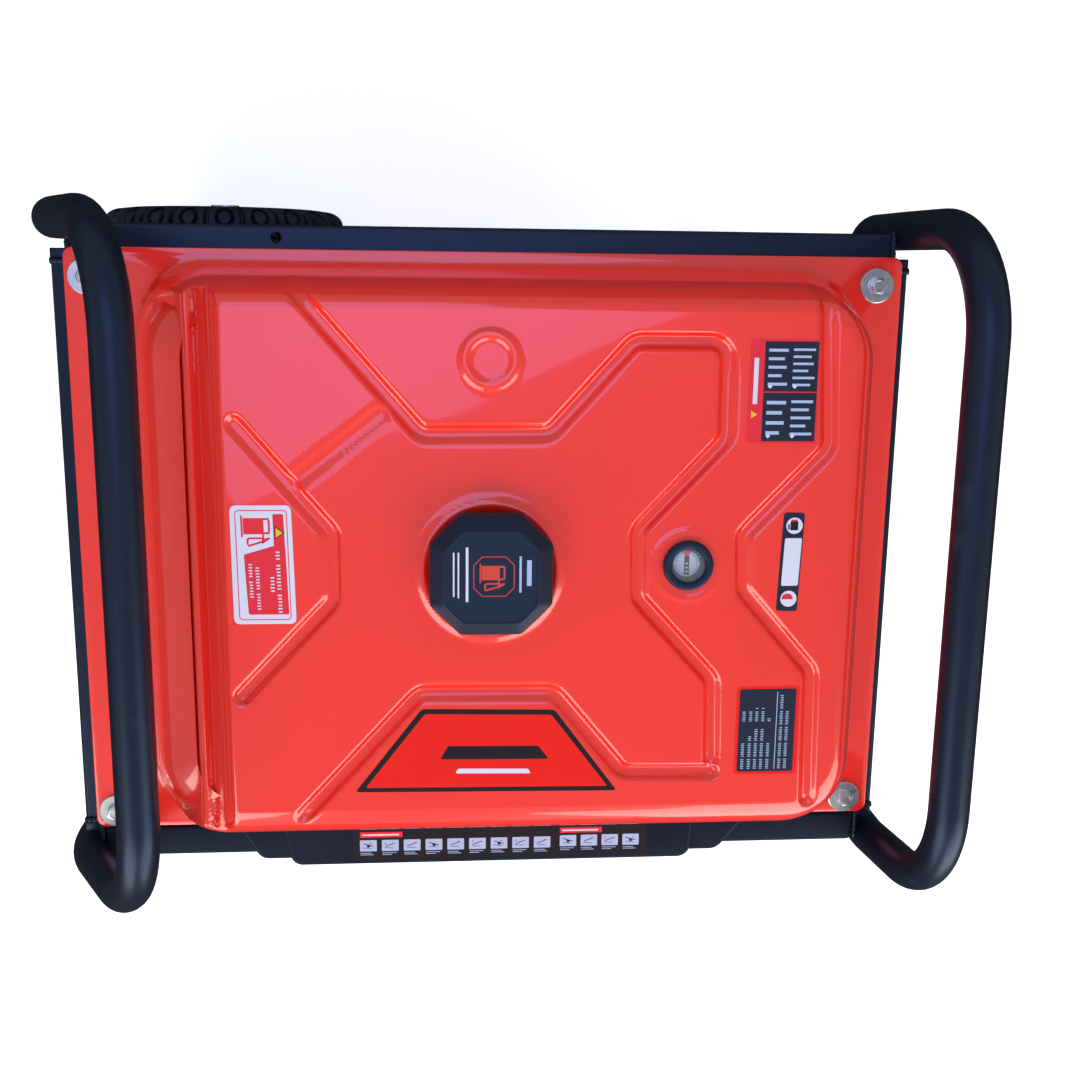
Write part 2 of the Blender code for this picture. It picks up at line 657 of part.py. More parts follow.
def make_cap(plastic, rubber, zinc):
    place = (*FILLER, 0)
    outer = [
        chamfered_square(CAP_WIDTH, CAP_CHAMFER, CAP_BOTTOM),
        chamfered_square(CAP_WIDTH, CAP_CHAMFER, CAP_BOTTOM + CAP_HEIGHT * 0.55),
        chamfered_square(CAP_TOP_WIDTH, CAP_TOP_CHAMFER, CAP_BOTTOM + CAP_HEIGHT * 0.96),
        chamfered_square(CAP_TOP_WIDTH - 5 * MM, CAP_TOP_CHAMFER, CAP_BOTTOM + CAP_HEIGHT),
    ]
    cap = loft("fuel_cap", outer, plastic, place)
    rim_top = NECK_TOP + GAP + 1 * MM
    seal_low = rim_top + GAP
    seal_high = seal_low + SEAL_THICKNESS
    cavity = rod("cap_cavity", (*FILLER, CAP_BOTTOM - 5 * MM), (*FILLER, seal_high + GAP), NECK_RADIUS + 4 * MM)
    cut(cap, cavity)
    outer_seal = NECK_RADIUS + 2 * MM
    inner_seal = NECK_RADIUS - 8 * MM
    ring = [(inner_seal, seal_high), (outer_seal, seal_high), (outer_seal, seal_low), (inner_seal, seal_low)]
    turned("cap_seal", ring, rubber, place, ring=True)
    basket = NECK_RADIUS - NECK_WALL - 1 * MM
    wall = 1.2 * MM
    low = NECK_TOP - STRAINER_DEPTH
    profile = [
        (basket - wall, rim_top),
        (NECK_RADIUS, rim_top),
        (NECK_RADIUS, NECK_TOP + GAP),
        (basket, NECK_TOP + GAP),
        (basket, low),
        (0, low),
    ]
    profile = [(0, low + wall), (basket - wall, low + wall)] + profile
    turned("filler_strainer", profile, zinc, place)


def make_gauge(plastic, glass, white, orange):
    place = (*GAUGE, TANK_TOP)
    collar = 5 * MM
    floor = -6 * MM
    profile = [
        (0, floor),
        (GAUGE_WELL_RADIUS, floor),
        (GAUGE_WELL_RADIUS, collar),
        (GAUGE_RADIUS - 1 * MM, collar),
        (GAUGE_RADIUS, collar - 1.5 * MM),
        (GAUGE_RADIUS, GAP),
        (GAUGE_STEM_RADIUS, GAP),
        (GAUGE_STEM_RADIUS, -GAUGE_STEM),
        (0, -GAUGE_STEM),
    ]
    body = turned("gauge_body", profile, plastic, place)
    pivot = Vector((GAUGE.x, GAUGE.y, TANK_TOP - GAUGE_STEM - 8 * MM))
    for side in (-1, 1):
        inner = GAUGE.y + side * 6 * MM
        outer = GAUGE.y + side * 9 * MM
        low = (GAUGE.x - 6 * MM, min(inner, outer), pivot.z - 6 * MM)
        unite(body, box(f"gauge_cheek_{side}", low, (GAUGE.x + 6 * MM, max(inner, outer), pivot.z + 10 * MM)))
    lens_radius = GAUGE_WELL_RADIUS - GAP
    rod("gauge_lens", (*GAUGE, TANK_TOP + 1.5 * MM), (*GAUGE, TANK_TOP + 4 * MM), lens_radius, glass)
    hand_low = TANK_TOP + floor + GAP
    hand = rod("gauge_pointer", (*GAUGE, hand_low), (*GAUGE, hand_low + 2 * MM), 3.5 * MM, white)
    low = (GAUGE.x - 1.5 * MM, GAUGE.y - 11 * MM, hand_low)
    unite(hand, box("gauge_needle", low, (GAUGE.x + 1.5 * MM, GAUGE.y + 11 * MM, hand_low + 1.2 * MM)))
    half = 5.5 * MM
    hub = rod("gauge_float", pivot, pivot + Vector((0, half, 0)), 5 * MM, orange)
    end = pivot + Vector((FLOAT_ARM, 0, 0))
    bulb = Vector((0, FLOAT_RADIUS * 1.5, 0))
    unite(
        hub,
        rod("gauge_hub", pivot - Vector((0, half, 0)), pivot + Vector((0, half / 2, 0)), 5 * MM),
        rod("gauge_arm", pivot, end, 2 * MM, sides=12),
        rod("gauge_bulb", end - bulb, end + bulb, FLOAT_RADIUS),
    )


def make_fuel_line(brass, lever_paint, rubber):
    """The tap under the tank, its lever at the machine's left end, and the hose to the carburettor."""
    stem_top = PAN_BOTTOM + 8 * MM
    tap = rod("fuel_tap", (TAP.x, TAP.y, TAP.z), (TAP.x, TAP.y, stem_top), TAP_RADIUS, brass)
    left = TAP - Vector((16 * MM, 0, 0))
    right = TAP + Vector((14 * MM, 0, 0))
    outlet_end = TAP + Vector((0, TAP_OUTLET, 0))
    unite(
        tap,
        rod("tap_body", left, right, TAP_BODY_RADIUS),
        rod("tap_outlet", TAP, outlet_end, 3 * MM),
    )
    pin = left - Vector((GAP, 0, 0))
    lever = rod("fuel_tap_lever", pin, pin - Vector((8 * MM, 0, 0)), 8 * MM, lever_paint)
    low = pin + Vector((-7 * MM, -4 * MM, -28 * MM))
    unite(lever, box("tap_blade", low, pin + Vector((-3 * MM, 4 * MM, 0))))
    start = outlet_end + Vector((0, GAP, 0))
    finish = Vector((ENGINE_X - BARB_REACH - GAP, CARB_Y, BARB_HEIGHT))
    corners = [
        start,
        start + Vector((0, 12 * MM, -1 * MM)),
        Vector((start.x + HOSE_LEAD, CARB_Y, (start.z + finish.z) / 2)),
        finish - Vector((HOSE_LEAD, 0, 0)),
        finish,
    ]
    tube("fuel_hose", smooth_path(corners, 24), HOSE_RADIUS, rubber)


def smooth_path(corners, count):
    """Points on a cubic curve through the corners."""
    corners = [Vector(corner) for corner in corners]
    ends = [corners[0] * 2 - corners[1]] + corners + [corners[-1] * 2 - corners[-2]]
    spans = len(corners) - 1
    path = []
    for i in range(count + 1):
        along = min(i / count * spans, spans - 1e-9)
        k = int(along)
        t = along - k
        a, b, c, d = ends[k : k + 4]
        slope_b = (c - a) / 2
        slope_c = (d - b) / 2
        path.append(
            b * (2 * t**3 - 3 * t**2 + 1)
            + slope_b * (t**3 - 2 * t**2 + t)
            + c * (3 * t**2 - 2 * t**3)
            + slope_c * (t**3 - t**2)
        )
    return path


def make_crankcase(aluminium):
    half = CASE_SIZE / 2
    base = ENGINE_BASE + GAP
    case = box(
        "crankcase",
        (CASE_LEFT, -half.y, base),
        (CASE_RIGHT, half.y, CASE_TOP),
        aluminium,
        bevel=8 * MM,
    )
    foot_low = (CASE_LEFT + GAP, -half.y - 12 * MM, base)
    unite(case, box("crankcase_foot", foot_low, (CASE_RIGHT - GAP, half.y + 12 * MM, base + 12 * MM)))
    start = (CASE_LEFT - 5 * MM, 0, CRANK_HEIGHT)
    cut(
        case,
        rod("crank_bore", start, (CASE_RIGHT + 5 * MM, 0, CRANK_HEIGHT), SHAFT_RADIUS + RUNNING_CLEARANCE),
        rod(
            "oil_hole",
            OIL_FILLER,
            OIL_FILLER + Vector((0, DIPSTICK_DEPTH + 6 * MM, 0)),
            DIPSTICK_RADIUS + GAP,
        ),
    )


def make_dipstick(plastic):
    face = OIL_FILLER - Vector((0, GAP, 0))
    cap = rod("oil_dipstick", face, face - Vector((0, 16 * MM, 0)), 15 * MM, plastic)
    inner = OIL_FILLER + Vector((0, DIPSTICK_DEPTH, 0))
    unite(cap, rod("dipstick_stem", inner, face - Vector((0, 4 * MM, 0)), DIPSTICK_RADIUS))


def cylinder_frame():
    """The cylinder's own axes: local Z runs out along the bore, local X along the crankshaft."""
    place = Vector((ENGINE_X, CASE_SIZE.y / 2, CRANK_HEIGHT + 16 * MM))
    turn = Matrix.Rotation(CYLINDER_TILT - math.pi / 2, 4, "X")
    return place, turn


def cylinder_box(name, low, high, material=None, bevel=0.0):
    place, turn = cylinder_frame()
    obj = box(name, low, high, material, bevel)
    middle = (Vector(low) + Vector(high)) / 2
    obj.location = place + turn @ middle
    obj.rotation_euler = turn.to_euler()
    return obj


def make_cylinder(aluminium, black, rubber):
    wide, tall = CYLINDER_SIZE
    x = wide / 2 - FIN_PROUD
    y = tall / 2 - FIN_PROUD
    head_end = CYLINDER_LENGTH + HEAD_LENGTH
    block = cylinder_box("cylinder_head", (-x, -y, -30 * MM), (x, y, head_end), aluminium)
    pitch = CYLINDER_LENGTH / FIN_COUNT
    fins = []
    for i in range(FIN_COUNT):
        low = (i + 0.9) * pitch
        fins.append(
            cylinder_box(f"fin_{i}", (-wide / 2, -tall / 2, low), (wide / 2, tall / 2, low + FIN_THICKNESS))
        )
    head_low = (-wide / 2, -tall / 2, CYLINDER_LENGTH + 12 * MM)
    fins.append(cylinder_box("head_block", head_low, (wide / 2, tall / 2, head_end)))
    unite(block, *fins)
    case_low = (CASE_LEFT - 50 * MM, -CASE_SIZE.y, 0)
    cut(block, box("case_side", case_low, (CASE_RIGHT + 50 * MM, CASE_SIZE.y / 2 + GAP, FLANGE_TOP)))
    cover_low = (-x, -y, head_end + GAP)
    cylinder_box("valve_cover", cover_low, (x, y, head_end + VALVE_COVER_LENGTH), black, bevel=6 * MM)
    place, turn = cylinder_frame()
    base = place + turn @ Vector((26 * MM, -tall / 2 - GAP, head_end - 18 * MM))
    up = turn @ Vector((0, -1, 0))
    boot = rod("spark_plug_cap", base, base + up * 34 * MM, 10 * MM, rubber, end_radius=8 * MM)
    unite(boot, rod("plug_elbow", base + up * 26 * MM, base + up * 26 * MM + Vector((20 * MM, 0, 0)), 6 * MM))


def make_starter_end(black, steel, grip_plastic):
    """The fan housing, the recoil starter's cover and its pull grip."""
    wide = HOUSING_WIDTH / 2
    low = CRANK_HEIGHT - HOUSING_HEIGHT / 2
    high = CRANK_HEIGHT + HOUSING_HEIGHT / 2
    housing = box("fan_housing", (HOUSING_LEFT, -wide, low), (HOUSING_RIGHT, wide, high), black, bevel=14 * MM)
    back = HOUSING_RIGHT - HOUSING_WALL
    cavity = HOUSING_HEIGHT / 2 - HOUSING_WALL - 4 * MM
    cut(
        housing,
        rod(
            "fan_cavity",
            (HOUSING_LEFT - 9 * MM, 0, CRANK_HEIGHT),
            (back, 0, CRANK_HEIGHT),
            cavity,
            sides=WHEEL_STEPS,
        ),
        rod(
            "shaft_hole",
            (back - 9 * MM, 0, CRANK_HEIGHT),
            (back + 9 * MM, 0, CRANK_HEIGHT),
            SHAFT_RADIUS + 3 * MM,
        ),
    )
    face = HOUSING_LEFT - GAP
    inner = RECOIL_RADIUS - HOUSING_WALL
    profile = [
        (0, RECOIL_DEPTH),
        (RECOIL_RADIUS * 0.55, RECOIL_DEPTH),
        (RECOIL_RADIUS * 0.94, RECOIL_DEPTH * 0.72),
        (RECOIL_RADIUS, RECOIL_DEPTH * 0.45),
        (RECOIL_RADIUS, 0),
        (inner, 0),
        (inner, RECOIL_DEPTH * 0.45),
        (RECOIL_RADIUS * 0.9, RECOIL_DEPTH * 0.6),
        (RECOIL_RADIUS * 0.53, RECOIL_DEPTH - HOUSING_WALL),
        (0, RECOIL_DEPTH - HOUSING_WALL),
    ]
    place = (face, 0, CRANK_HEIGHT)
    turned("recoil_housing", profile, black, place, (0, math.radians(-90), 0), steps=WHEEL_STEPS)
    grip_face = Vector((face - RECOIL_DEPTH - GAP, RECOIL_RADIUS * -0.72, CRANK_HEIGHT + RECOIL_RADIUS * 0.4))
    start = grip_face - Vector((0, 0, GRIP_LENGTH / 2))
    end = grip_face + Vector((0, 0, GRIP_LENGTH / 2))
    out = Vector((-GRIP_RADIUS, 0, 0))
    grip = rod("recoil_grip", start + out, end + out, GRIP_RADIUS, grip_plastic)
    unite(grip, rod("grip_boss", grip_face, grip_face + out, 8 * MM))
    make_crankshaft(steel)


def make_crankshaft(steel):
    """The crankshaft with the flywheel, turned about its own axis, from its right end to its left."""
    fly_right = HOUSING_RIGHT - HOUSING_WALL - 8 * MM
    fly_left = fly_right - FLYWHEEL_THICKNESS
    step_x = STATOR_RIGHT - 6 * MM
    end_x = STATOR_RIGHT + END_COVER_LENGTH - 16 * MM
    cup = HOUSING_LEFT - RECOIL_DEPTH * 0.4
    profile = [
        (0, end_x),
        (END_SHAFT_RADIUS, end_x),
        (END_SHAFT_RADIUS, step_x),
        (SHAFT_RADIUS, step_x),
        (SHAFT_RADIUS, fly_right),
        (FLYWHEEL_RADIUS, fly_right),
        (FLYWHEEL_RADIUS, fly_left),
        (FLYWHEEL_RADIUS * 0.5, fly_left - 8 * MM),
        (FLYWHEEL_RADIUS * 0.4, cup),
        (0, cup),
    ]
    turned("crankshaft", profile, steel, (0, 0, CRANK_HEIGHT), (0, math.radians(90), 0), steps=WHEEL_STEPS)


def make_alternator(aluminium, black, copper):
    turn = (0, math.radians(90), 0)
    place = (0, 0, CRANK_HEIGHT)
    bell_right = STATOR_LEFT + BELL_LENGTH
    rod_profile = [
        (STATOR_BORE, STATOR_RIGHT),
        (STATOR_RADIUS, STATOR_RIGHT),
        (STATOR_RADIUS, bell_right),
        (STATOR_RADIUS - 10 * MM, STATOR_LEFT + 14 * MM),
        (STATOR_RADIUS - 10 * MM, STATOR_LEFT),
        (STATOR_BORE, STATOR_LEFT),
    ]
    stator = turned("alternator_stator", rod_profile, aluminium, place, turn, steps=WHEEL_STEPS, ring=True)
    x = bell_right + STATOR_LENGTH * 0.6
    base = ENGINE_BASE + GAP
    for side in (-1, 1):
        y = side * CASE_SIZE.y * 0.42
        low = (x - BEARER_WIDTH / 2, y - 16 * MM, base)
        high = (x + BEARER_WIDTH / 2, y + 16 * MM, CRANK_HEIGHT - 50 * MM)
        unite(stator, box(f"stator_foot_{side}", low, high))
    middle = bell_right + STATOR_LENGTH / 2 - 4 * MM
    low = middle - ROTOR_LENGTH / 2
    high = middle + ROTOR_LENGTH / 2
    bore = SHAFT_RADIUS + GAP
    rotor = [(bore, high), (ROTOR_RADIUS, high), (ROTOR_RADIUS, low), (bore, low)]
    turned("alternator_rotor", rotor, copper, place, turn, ring=True)
    face = STATOR_RIGHT + GAP
    outer = STATOR_RADIUS - 2 * MM
    end = face + END_COVER_LENGTH
    pocket = END_SHAFT_RADIUS + RUNNING_CLEARANCE
    cover = [
        (0, end),
        (outer - 22 * MM, end),
        (outer, end - 16 * MM),
        (outer, face),
        (outer - 5 * MM, face),
        (outer - 5 * MM, end - 18 * MM),
        (outer - 24 * MM, end - 6 * MM),
        (pocket + 9 * MM, end - 6 * MM),
        (pocket + 9 * MM, end - 26 * MM),
        (pocket, end - 26 * MM),
        (pocket, end - 6 * MM),
        (0, end - 6 * MM),
    ]
    turned("alternator_end_cover", cover, black, place, turn, steps=WHEEL_STEPS)


def make_intake(aluminium, black, foam, lever_paint):
    """The carburettor with its inlet pipe, the choke lever and the air filter."""
    throat_front = CARB_Y - CARB_HALF_LENGTH + 1 * MM
    throat_back = CARB_Y + CARB_HALF_LENGTH + 1 * MM
    axis = THROAT_HEIGHT
    carb = rod(
        "carburettor",
        (ENGINE_X, throat_front, axis),
        (ENGINE_X, throat_back, axis),
        CARB_RADIUS,
        aluminium,
    )
    bowl = rod("carb_bowl", (ENGINE_X, CARB_Y, CASE_TOP + 4 * MM), (ENGINE_X, CARB_Y, axis), BOWL_RADIUS)
    barb_start = (ENGINE_X, CARB_Y, BARB_HEIGHT)
    barb = rod("carb_barb", barb_start, (ENGINE_X - BARB_REACH, CARB_Y, BARB_HEIGHT), 3 * MM)
    place, turn = cylinder_frame()
    head_top = place + turn @ Vector((-24 * MM, -CYLINDER_SIZE[1] / 2 - GAP, CYLINDER_LENGTH + 24 * MM))
    up = turn @ Vector((0, -1, 0))
    over_head = head_top + up * ((axis - head_top.z) / up.z)
    corners = [Vector((ENGINE_X, throat_back - 6 * MM, axis)), over_head, head_top]
    pipe = tube("inlet_pipe", bent_path(corners, [18 * MM], steps=5), 12 * MM)
    flange = rod("inlet_flange", head_top, head_top + up * 6 * MM, 17 * MM)
    unite(carb, bowl, barb, pipe, flange)
    pivot = Vector((ENGINE_X - CARB_RADIUS - GAP, CARB_Y - 14 * MM, axis))
    lever = rod("choke_lever", pivot, pivot - Vector((5 * MM, 0, 0)), 5 * MM, lever_paint)
    low = pivot + Vector((-4 * MM, -3 * MM, 0))
    unite(lever, box("choke_blade", low, pivot + Vector((-2 * MM, 3 * MM, 22 * MM))))
    wide = FILTER_SIZE.x / 2
    back = throat_front - GAP
    split = back - FILTER_SIZE.y
    low = CASE_TOP + 3 * MM
    high = low + FILTER_SIZE.z
    case = box(
        "air_filter_case",
        (ENGINE_X - wide, split, low),
        (ENGINE_X + wide, back, high),
        black,
        bevel=5 * MM,
    )
    inset = FILTER_WALL
    cut(
        case,
        box(
            "filter_cavity",
            (ENGINE_X - wide + inset, split - 20 * MM, low + inset),
            (ENGINE_X + wide - inset, back - inset, high - inset),
        ),
        rod(
            "filter_outlet",
            (ENGINE_X, back - 20 * MM, axis),
            (ENGINE_X, back + 5 * MM, axis),
            CARB_RADIUS - 5 * MM,
        ),
    )
    front = split - GAP - FILTER_COVER_DEPTH
    cover = box(
        "air_filter_cover",
        (ENGINE_X - wide, front, low),
        (ENGINE_X + wide, split - GAP, high),
        black,
        bevel=5 * MM,
    )
    cut(
        cover,
        box(
            "cover_cavity",
            (ENGINE_X - wide + inset, front + inset, low + inset),
            (ENGINE_X + wide - inset, split + 20 * MM, high - inset),
        ),
    )
    gap = inset + 2 * MM
    box(
        "air_filter_element",
        (ENGINE_X - wide + gap, front + gap + 10 * MM, low + gap),
        (ENGINE_X + wide - gap, back - gap - 12 * MM, high - gap),
        foam,
    )


def make_silencer(steel):
    place, turn = cylinder_frame()
    port = place + turn @ Vector((CYLINDER_SIZE[0] / 2 + GAP, 0, CYLINDER_LENGTH + 26 * MM))
    left = STATOR_LEFT + 40 * MM
    right = left + SILENCER_LENGTH
    high = PAN_BOTTOM - 14 * MM
    low = high - SILENCER_HEIGHT
    back = port.y + SILENCER_WIDTH * 0.45
    front = back - SILENCER_WIDTH
    rings = []
    for x, inset in ((left, 8), (left + 8 * MM, 0), (right - 8 * MM, 0), (right, 8)):
        shrink = inset * MM
        outline = rounded_rectangle(front + shrink, back - shrink, low + shrink, high - shrink, 40 * MM, 0)
        rings.append([Vector((x, point.x, point.y)) for point in outline])
    silencer = loft("silencer", rings, steel)
    elbow = Vector((left + 30 * MM, port.y, low + 38 * MM))
    corners = [port, Vector((left - 14 * MM, port.y, port.z)), elbow]
    pipe = tube("exhaust_pipe", bent_path(corners, [20 * MM], steps=5), PIPE_RADIUS)
    flange = rod("exhaust_flange", port, port + Vector((7 * MM, 0, 0)), PIPE_RADIUS + 8 * MM)
    outlet_low = Vector((right - 4 * MM, (front + back) / 2, low + 36 * MM))
    outlet = rod("exhaust_outlet", outlet_low, outlet_low + Vector((26 * MM, 0, 0)), 12 * MM)
    unite(silencer, pipe, flange, outlet)


def make_panel(plastic):
    top = PANEL_TOP
    low = top - PANEL_HEIGHT
    back = PANEL_FRONT + PANEL_DEPTH
    panel = box("control_panel", (-PANEL_X, PANEL_FRONT, low), (PANEL_X, back, top), plastic)
    step = BLOCK_LENGTH / 2 + STEP_LENGTH
    block = BLOCK_LENGTH / 2
    unite(
        panel,
        box(
            "panel_step",
            (BLOCK_X - step, PANEL_FRONT - STEP_PROUD, low + 6 * MM),
            (BLOCK_X + step, PANEL_FRONT + 1 * MM, top - 1 * MM),
        ),
        box(
            "panel_block",
            (BLOCK_X - block, BLOCK_FRONT, low + 12 * MM),
            (BLOCK_X + block, PANEL_FRONT + 12 * MM, top + BLOCK_RISE),
        ),
    )
    wall = PANEL_WALL
    rail_front = -RAIL_Y - 1.5 * MM
    cut(
        panel,
        box(
            "panel_hollow",
            (-PANEL_X + wall, PANEL_FRONT + wall, low + wall),
            (PANEL_X - wall, back + wall, top - wall),
        ),
        box(
            "rail_slot",
            (-PANEL_X - wall, rail_front, RAIL_TOP - RAIL_DEPTH - 1 * MM),
            (PANEL_X + wall, back + wall, RAIL_TOP + 1 * MM),
        ),
    )
    middle = low + PANEL_HEIGHT - SOCKET_DROP
    for i, x in enumerate(SOCKET_X):
        start = (x, BLOCK_FRONT - 5 * MM, middle)
        cut(panel, rod(f"socket_hole_{i}", start, (x, PANEL_FRONT + 30 * MM, middle), SOCKET_RADIUS))
    meter = top - METER_DROP
    key = top - KEY_DROP
    size = BREAKER_SIZE
    cut(
        panel,
        rod(
            "meter_hole",
            (METER_X, BLOCK_FRONT - 5 * MM, meter),
            (METER_X, back, meter),
            METER_RADIUS + METER_CLEARANCE,
        ),
        rod("key_hole", (METER_X, BLOCK_FRONT - 5 * MM, key), (METER_X, back, key), KEY_RADIUS + GAP),
        box(
            "breaker_hole",
            (BREAKER_X - size.x / 2 - GAP, BLOCK_FRONT - 5 * MM, middle - size.z / 2 - GAP),
            (BREAKER_X + size.x / 2 + GAP, back, middle + size.z / 2 + GAP),
        ),
    )
    cut(panel, bpy.data.objects["left_hoop_clearance"], bpy.data.objects["right_hoop_clearance"])
    return middle, meter, key


def make_controls(plastic, white, steel, red):
    middle, meter, key = make_panel(plastic)
    face = BLOCK_FRONT - GAP
    for name, x in zip(("left", "right"), SOCKET_X):
        hinge_z = middle + FLAP_SIZE / 2
        pin = Vector((x - FLAP_SIZE / 2 + 6 * MM, face - HINGE_RADIUS, hinge_z))
        flap = rod(f"socket_flap_{name}", pin, pin + Vector((FLAP_SIZE - 12 * MM, 0, 0)), HINGE_RADIUS, plastic)
        low = (x - FLAP_SIZE / 2, face - FLAP_THICKNESS, middle - FLAP_SIZE / 2)
        unite(flap, box(f"flap_plate_{name}", low, (x + FLAP_SIZE / 2, face, hinge_z - 1 * MM)))
    profile = [
        (0, 5 * MM),
        (METER_RADIUS + 2 * MM, 5 * MM),
        (METER_RADIUS + 4 * MM, GAP),
        (METER_RADIUS, GAP),
        (METER_RADIUS, -16 * MM),
        (0, -16 * MM),
    ]
    turned("voltmeter", profile, white, (METER_X, BLOCK_FRONT, meter), (math.radians(90), 0, 0))
    start = (METER_X, BLOCK_FRONT + 12 * MM, key)
    switch = rod("ignition_key", start, (METER_X, BLOCK_FRONT - 2 * MM, key), KEY_RADIUS, steel)
    low = (METER_X - 1 * MM, BLOCK_FRONT - 6.5 * MM, key - 9 * MM)
    unite(switch, box("key_blade", low, (METER_X + 1 * MM, BLOCK_FRONT, key + 9 * MM)))
    pivot = Vector((BREAKER_X, BLOCK_FRONT + 6 * MM, middle))
    half = BREAKER_SIZE.x / 2 - GAP
    hub = rod("breaker_lever", pivot - Vector((half, 0, 0)), pivot + Vector((half, 0, 0)), 6 * MM, red)
    low = (BREAKER_X - half + 1 * MM, BLOCK_FRONT - 6.5 * MM, middle - 2.5 * MM)
    unite(hub, box("breaker_blade", low, (BREAKER_X + half - 1 * MM, pivot.y, middle + 2.5 * MM)))


def make_battery(plastic, steel):
    half = BATTERY_SIZE.x / 2
    bottom = SKID_HEIGHT + TUBE_RADIUS + GAP
    front = SKID_Y + TUBE_RADIUS - BATTERY_SIZE.y
    back = front + BATTERY_SIZE.y
    top = bottom + BATTERY_SIZE.z
    box("battery", (BATTERY_X - half, front, bottom), (BATTERY_X + half, back, top), plastic, bevel=2 * MM)
    wide = CLAMP_WIDTH / 2
    inner = 2 * GAP
    outer = inner + CLAMP_THICKNESS
    clamp = box(
        "battery_clamp",
        (BATTERY_X - wide, front - outer, bottom),
        (BATTERY_X + wide, back + outer, top + outer),
        steel,
    )
    low = (BATTERY_X - CLAMP_WIDTH, front - inner, bottom - 5 * MM)
    cut(clamp, box("clamp_inside", low, (BATTERY_X + CLAMP_WIDTH, back + inner, top + inner)))


def build():
    start()
    frame_black = make_material("frame_black", (0.012, 0.014, 0.02), 0.35, 0.0)
    tank_red = make_material("tank_red", (0.85, 0.035, 0.012), 0.12, 0.0)
    zinc = make_material("zinc", (0.62, 0.66, 0.7), 0.3, 1.0)
    rubber = make_material("rubber", (0.018, 0.018, 0.018), 0.75, 0.0)
    black_plastic = make_material("black_plastic", (0.014, 0.016, 0.022), 0.45, 0.0)
    aluminium = make_material("cast_aluminium", (0.55, 0.56, 0.57), 0.45, 0.9)
    steel = make_material("steel", (0.4, 0.4, 0.4), 0.35, 1.0)
    copper = make_material("copper_windings", (0.6, 0.24, 0.1), 0.4, 0.8)
    brass = make_material("brass", (0.6, 0.43, 0.16), 0.3, 1.0)
    white = make_material("white_plastic", (0.75, 0.75, 0.73), 0.4, 0.0)
    lens = make_material("clear_lens", (0.75, 0.78, 0.8), 0.08, 0.0)
    signal_red = make_material("signal_red", (0.65, 0.02, 0.02), 0.35, 0.0)
    foam = make_material("filter_foam", (0.12, 0.12, 0.12), 0.95, 0.0)
    make_frame(frame_black)
    make_wheels(rubber, frame_black, zinc)
    make_feet(rubber)
    make_tank(tank_red, zinc)
    make_cap(black_plastic, rubber, zinc)
    make_gauge(black_plastic, lens, white, signal_red)
    make_fuel_line(brass, signal_red, rubber)
    make_crankcase(aluminium)
    make_dipstick(black_plastic)
    make_cylinder(aluminium, frame_black, rubber)
    make_starter_end(black_plastic, steel, black_plastic)
    make_alternator(aluminium, black_plastic, copper)
    make_intake(aluminium, black_plastic, foam, signal_red)
    make_silencer(steel)
    make_controls(black_plastic, white, steel, signal_red)
    make_battery(black_plastic, zinc)


build()
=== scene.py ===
"""Looks of the open-frame portable generator: finishes for every part, and the detailed pieces on it."""

import json
import math

import bmesh
import bpy
import numpy as np
from mathutils import Matrix, Vector


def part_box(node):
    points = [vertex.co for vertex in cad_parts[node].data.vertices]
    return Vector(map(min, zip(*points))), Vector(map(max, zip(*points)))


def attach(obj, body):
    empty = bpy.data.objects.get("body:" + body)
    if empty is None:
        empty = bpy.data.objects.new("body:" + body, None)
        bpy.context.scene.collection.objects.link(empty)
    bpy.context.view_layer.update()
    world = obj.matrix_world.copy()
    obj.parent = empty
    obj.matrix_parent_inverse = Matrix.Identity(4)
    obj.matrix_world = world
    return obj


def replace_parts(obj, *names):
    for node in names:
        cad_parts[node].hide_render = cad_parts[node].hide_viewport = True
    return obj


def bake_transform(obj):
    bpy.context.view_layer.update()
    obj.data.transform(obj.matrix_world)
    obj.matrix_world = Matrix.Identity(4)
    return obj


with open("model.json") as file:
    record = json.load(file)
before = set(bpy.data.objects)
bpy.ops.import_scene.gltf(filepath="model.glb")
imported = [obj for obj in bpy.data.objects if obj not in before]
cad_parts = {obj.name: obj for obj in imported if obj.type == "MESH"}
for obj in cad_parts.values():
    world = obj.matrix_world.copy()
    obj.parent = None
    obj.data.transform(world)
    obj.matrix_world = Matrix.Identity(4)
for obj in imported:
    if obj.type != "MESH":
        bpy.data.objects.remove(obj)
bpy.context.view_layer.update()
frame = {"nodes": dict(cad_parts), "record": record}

MM = 0.001
CHASSIS = "chassis"

# Frame tubes and rails
TUBE = 16 * MM
HOOP_CORNER = 85 * MM
KNEE_DROP = 18 * MM
FRONT_LEG_LEAN = 12 * MM
KNEE_BEND = 120 * MM
LEG_STEP_HEIGHT = 225 * MM
LEG_STEP_BEND = 45 * MM
RAIL_THICKNESS = 3 * MM
RAIL_ROUNDING = 3.5 * MM
RAIL_TIP = 10 * MM  # end rails beyond the long rails' inner edges
RAIL_HOLE = (-171 * MM, 4.6 * MM)  # middle along X, radius
WELD_RADIUS = 2.6 * MM
WELD_STEPS = 40

# Tank pressing
SHEET = 1.5 * MM
NECK_RISE = 8 * MM
NECK_RADIUS = 30 * MM
GROOVE_HALF_WIDTH = 8 * MM
GROOVE_DEPTH = 5 * MM
CEILING_DROP = 15 * MM  # inside of the pressing, below its top
INNER_WALL = 2 * MM  # inside of the pressing's walls, from their outside
BOSS = Vector((-4 * MM, 169 * MM))

# Tyres
TYRE_RADIUS = 120 * MM
TREAD_BLOCKS = 22
TREAD_DEPTH = 5.5 * MM
TYRE_STEPS = 704

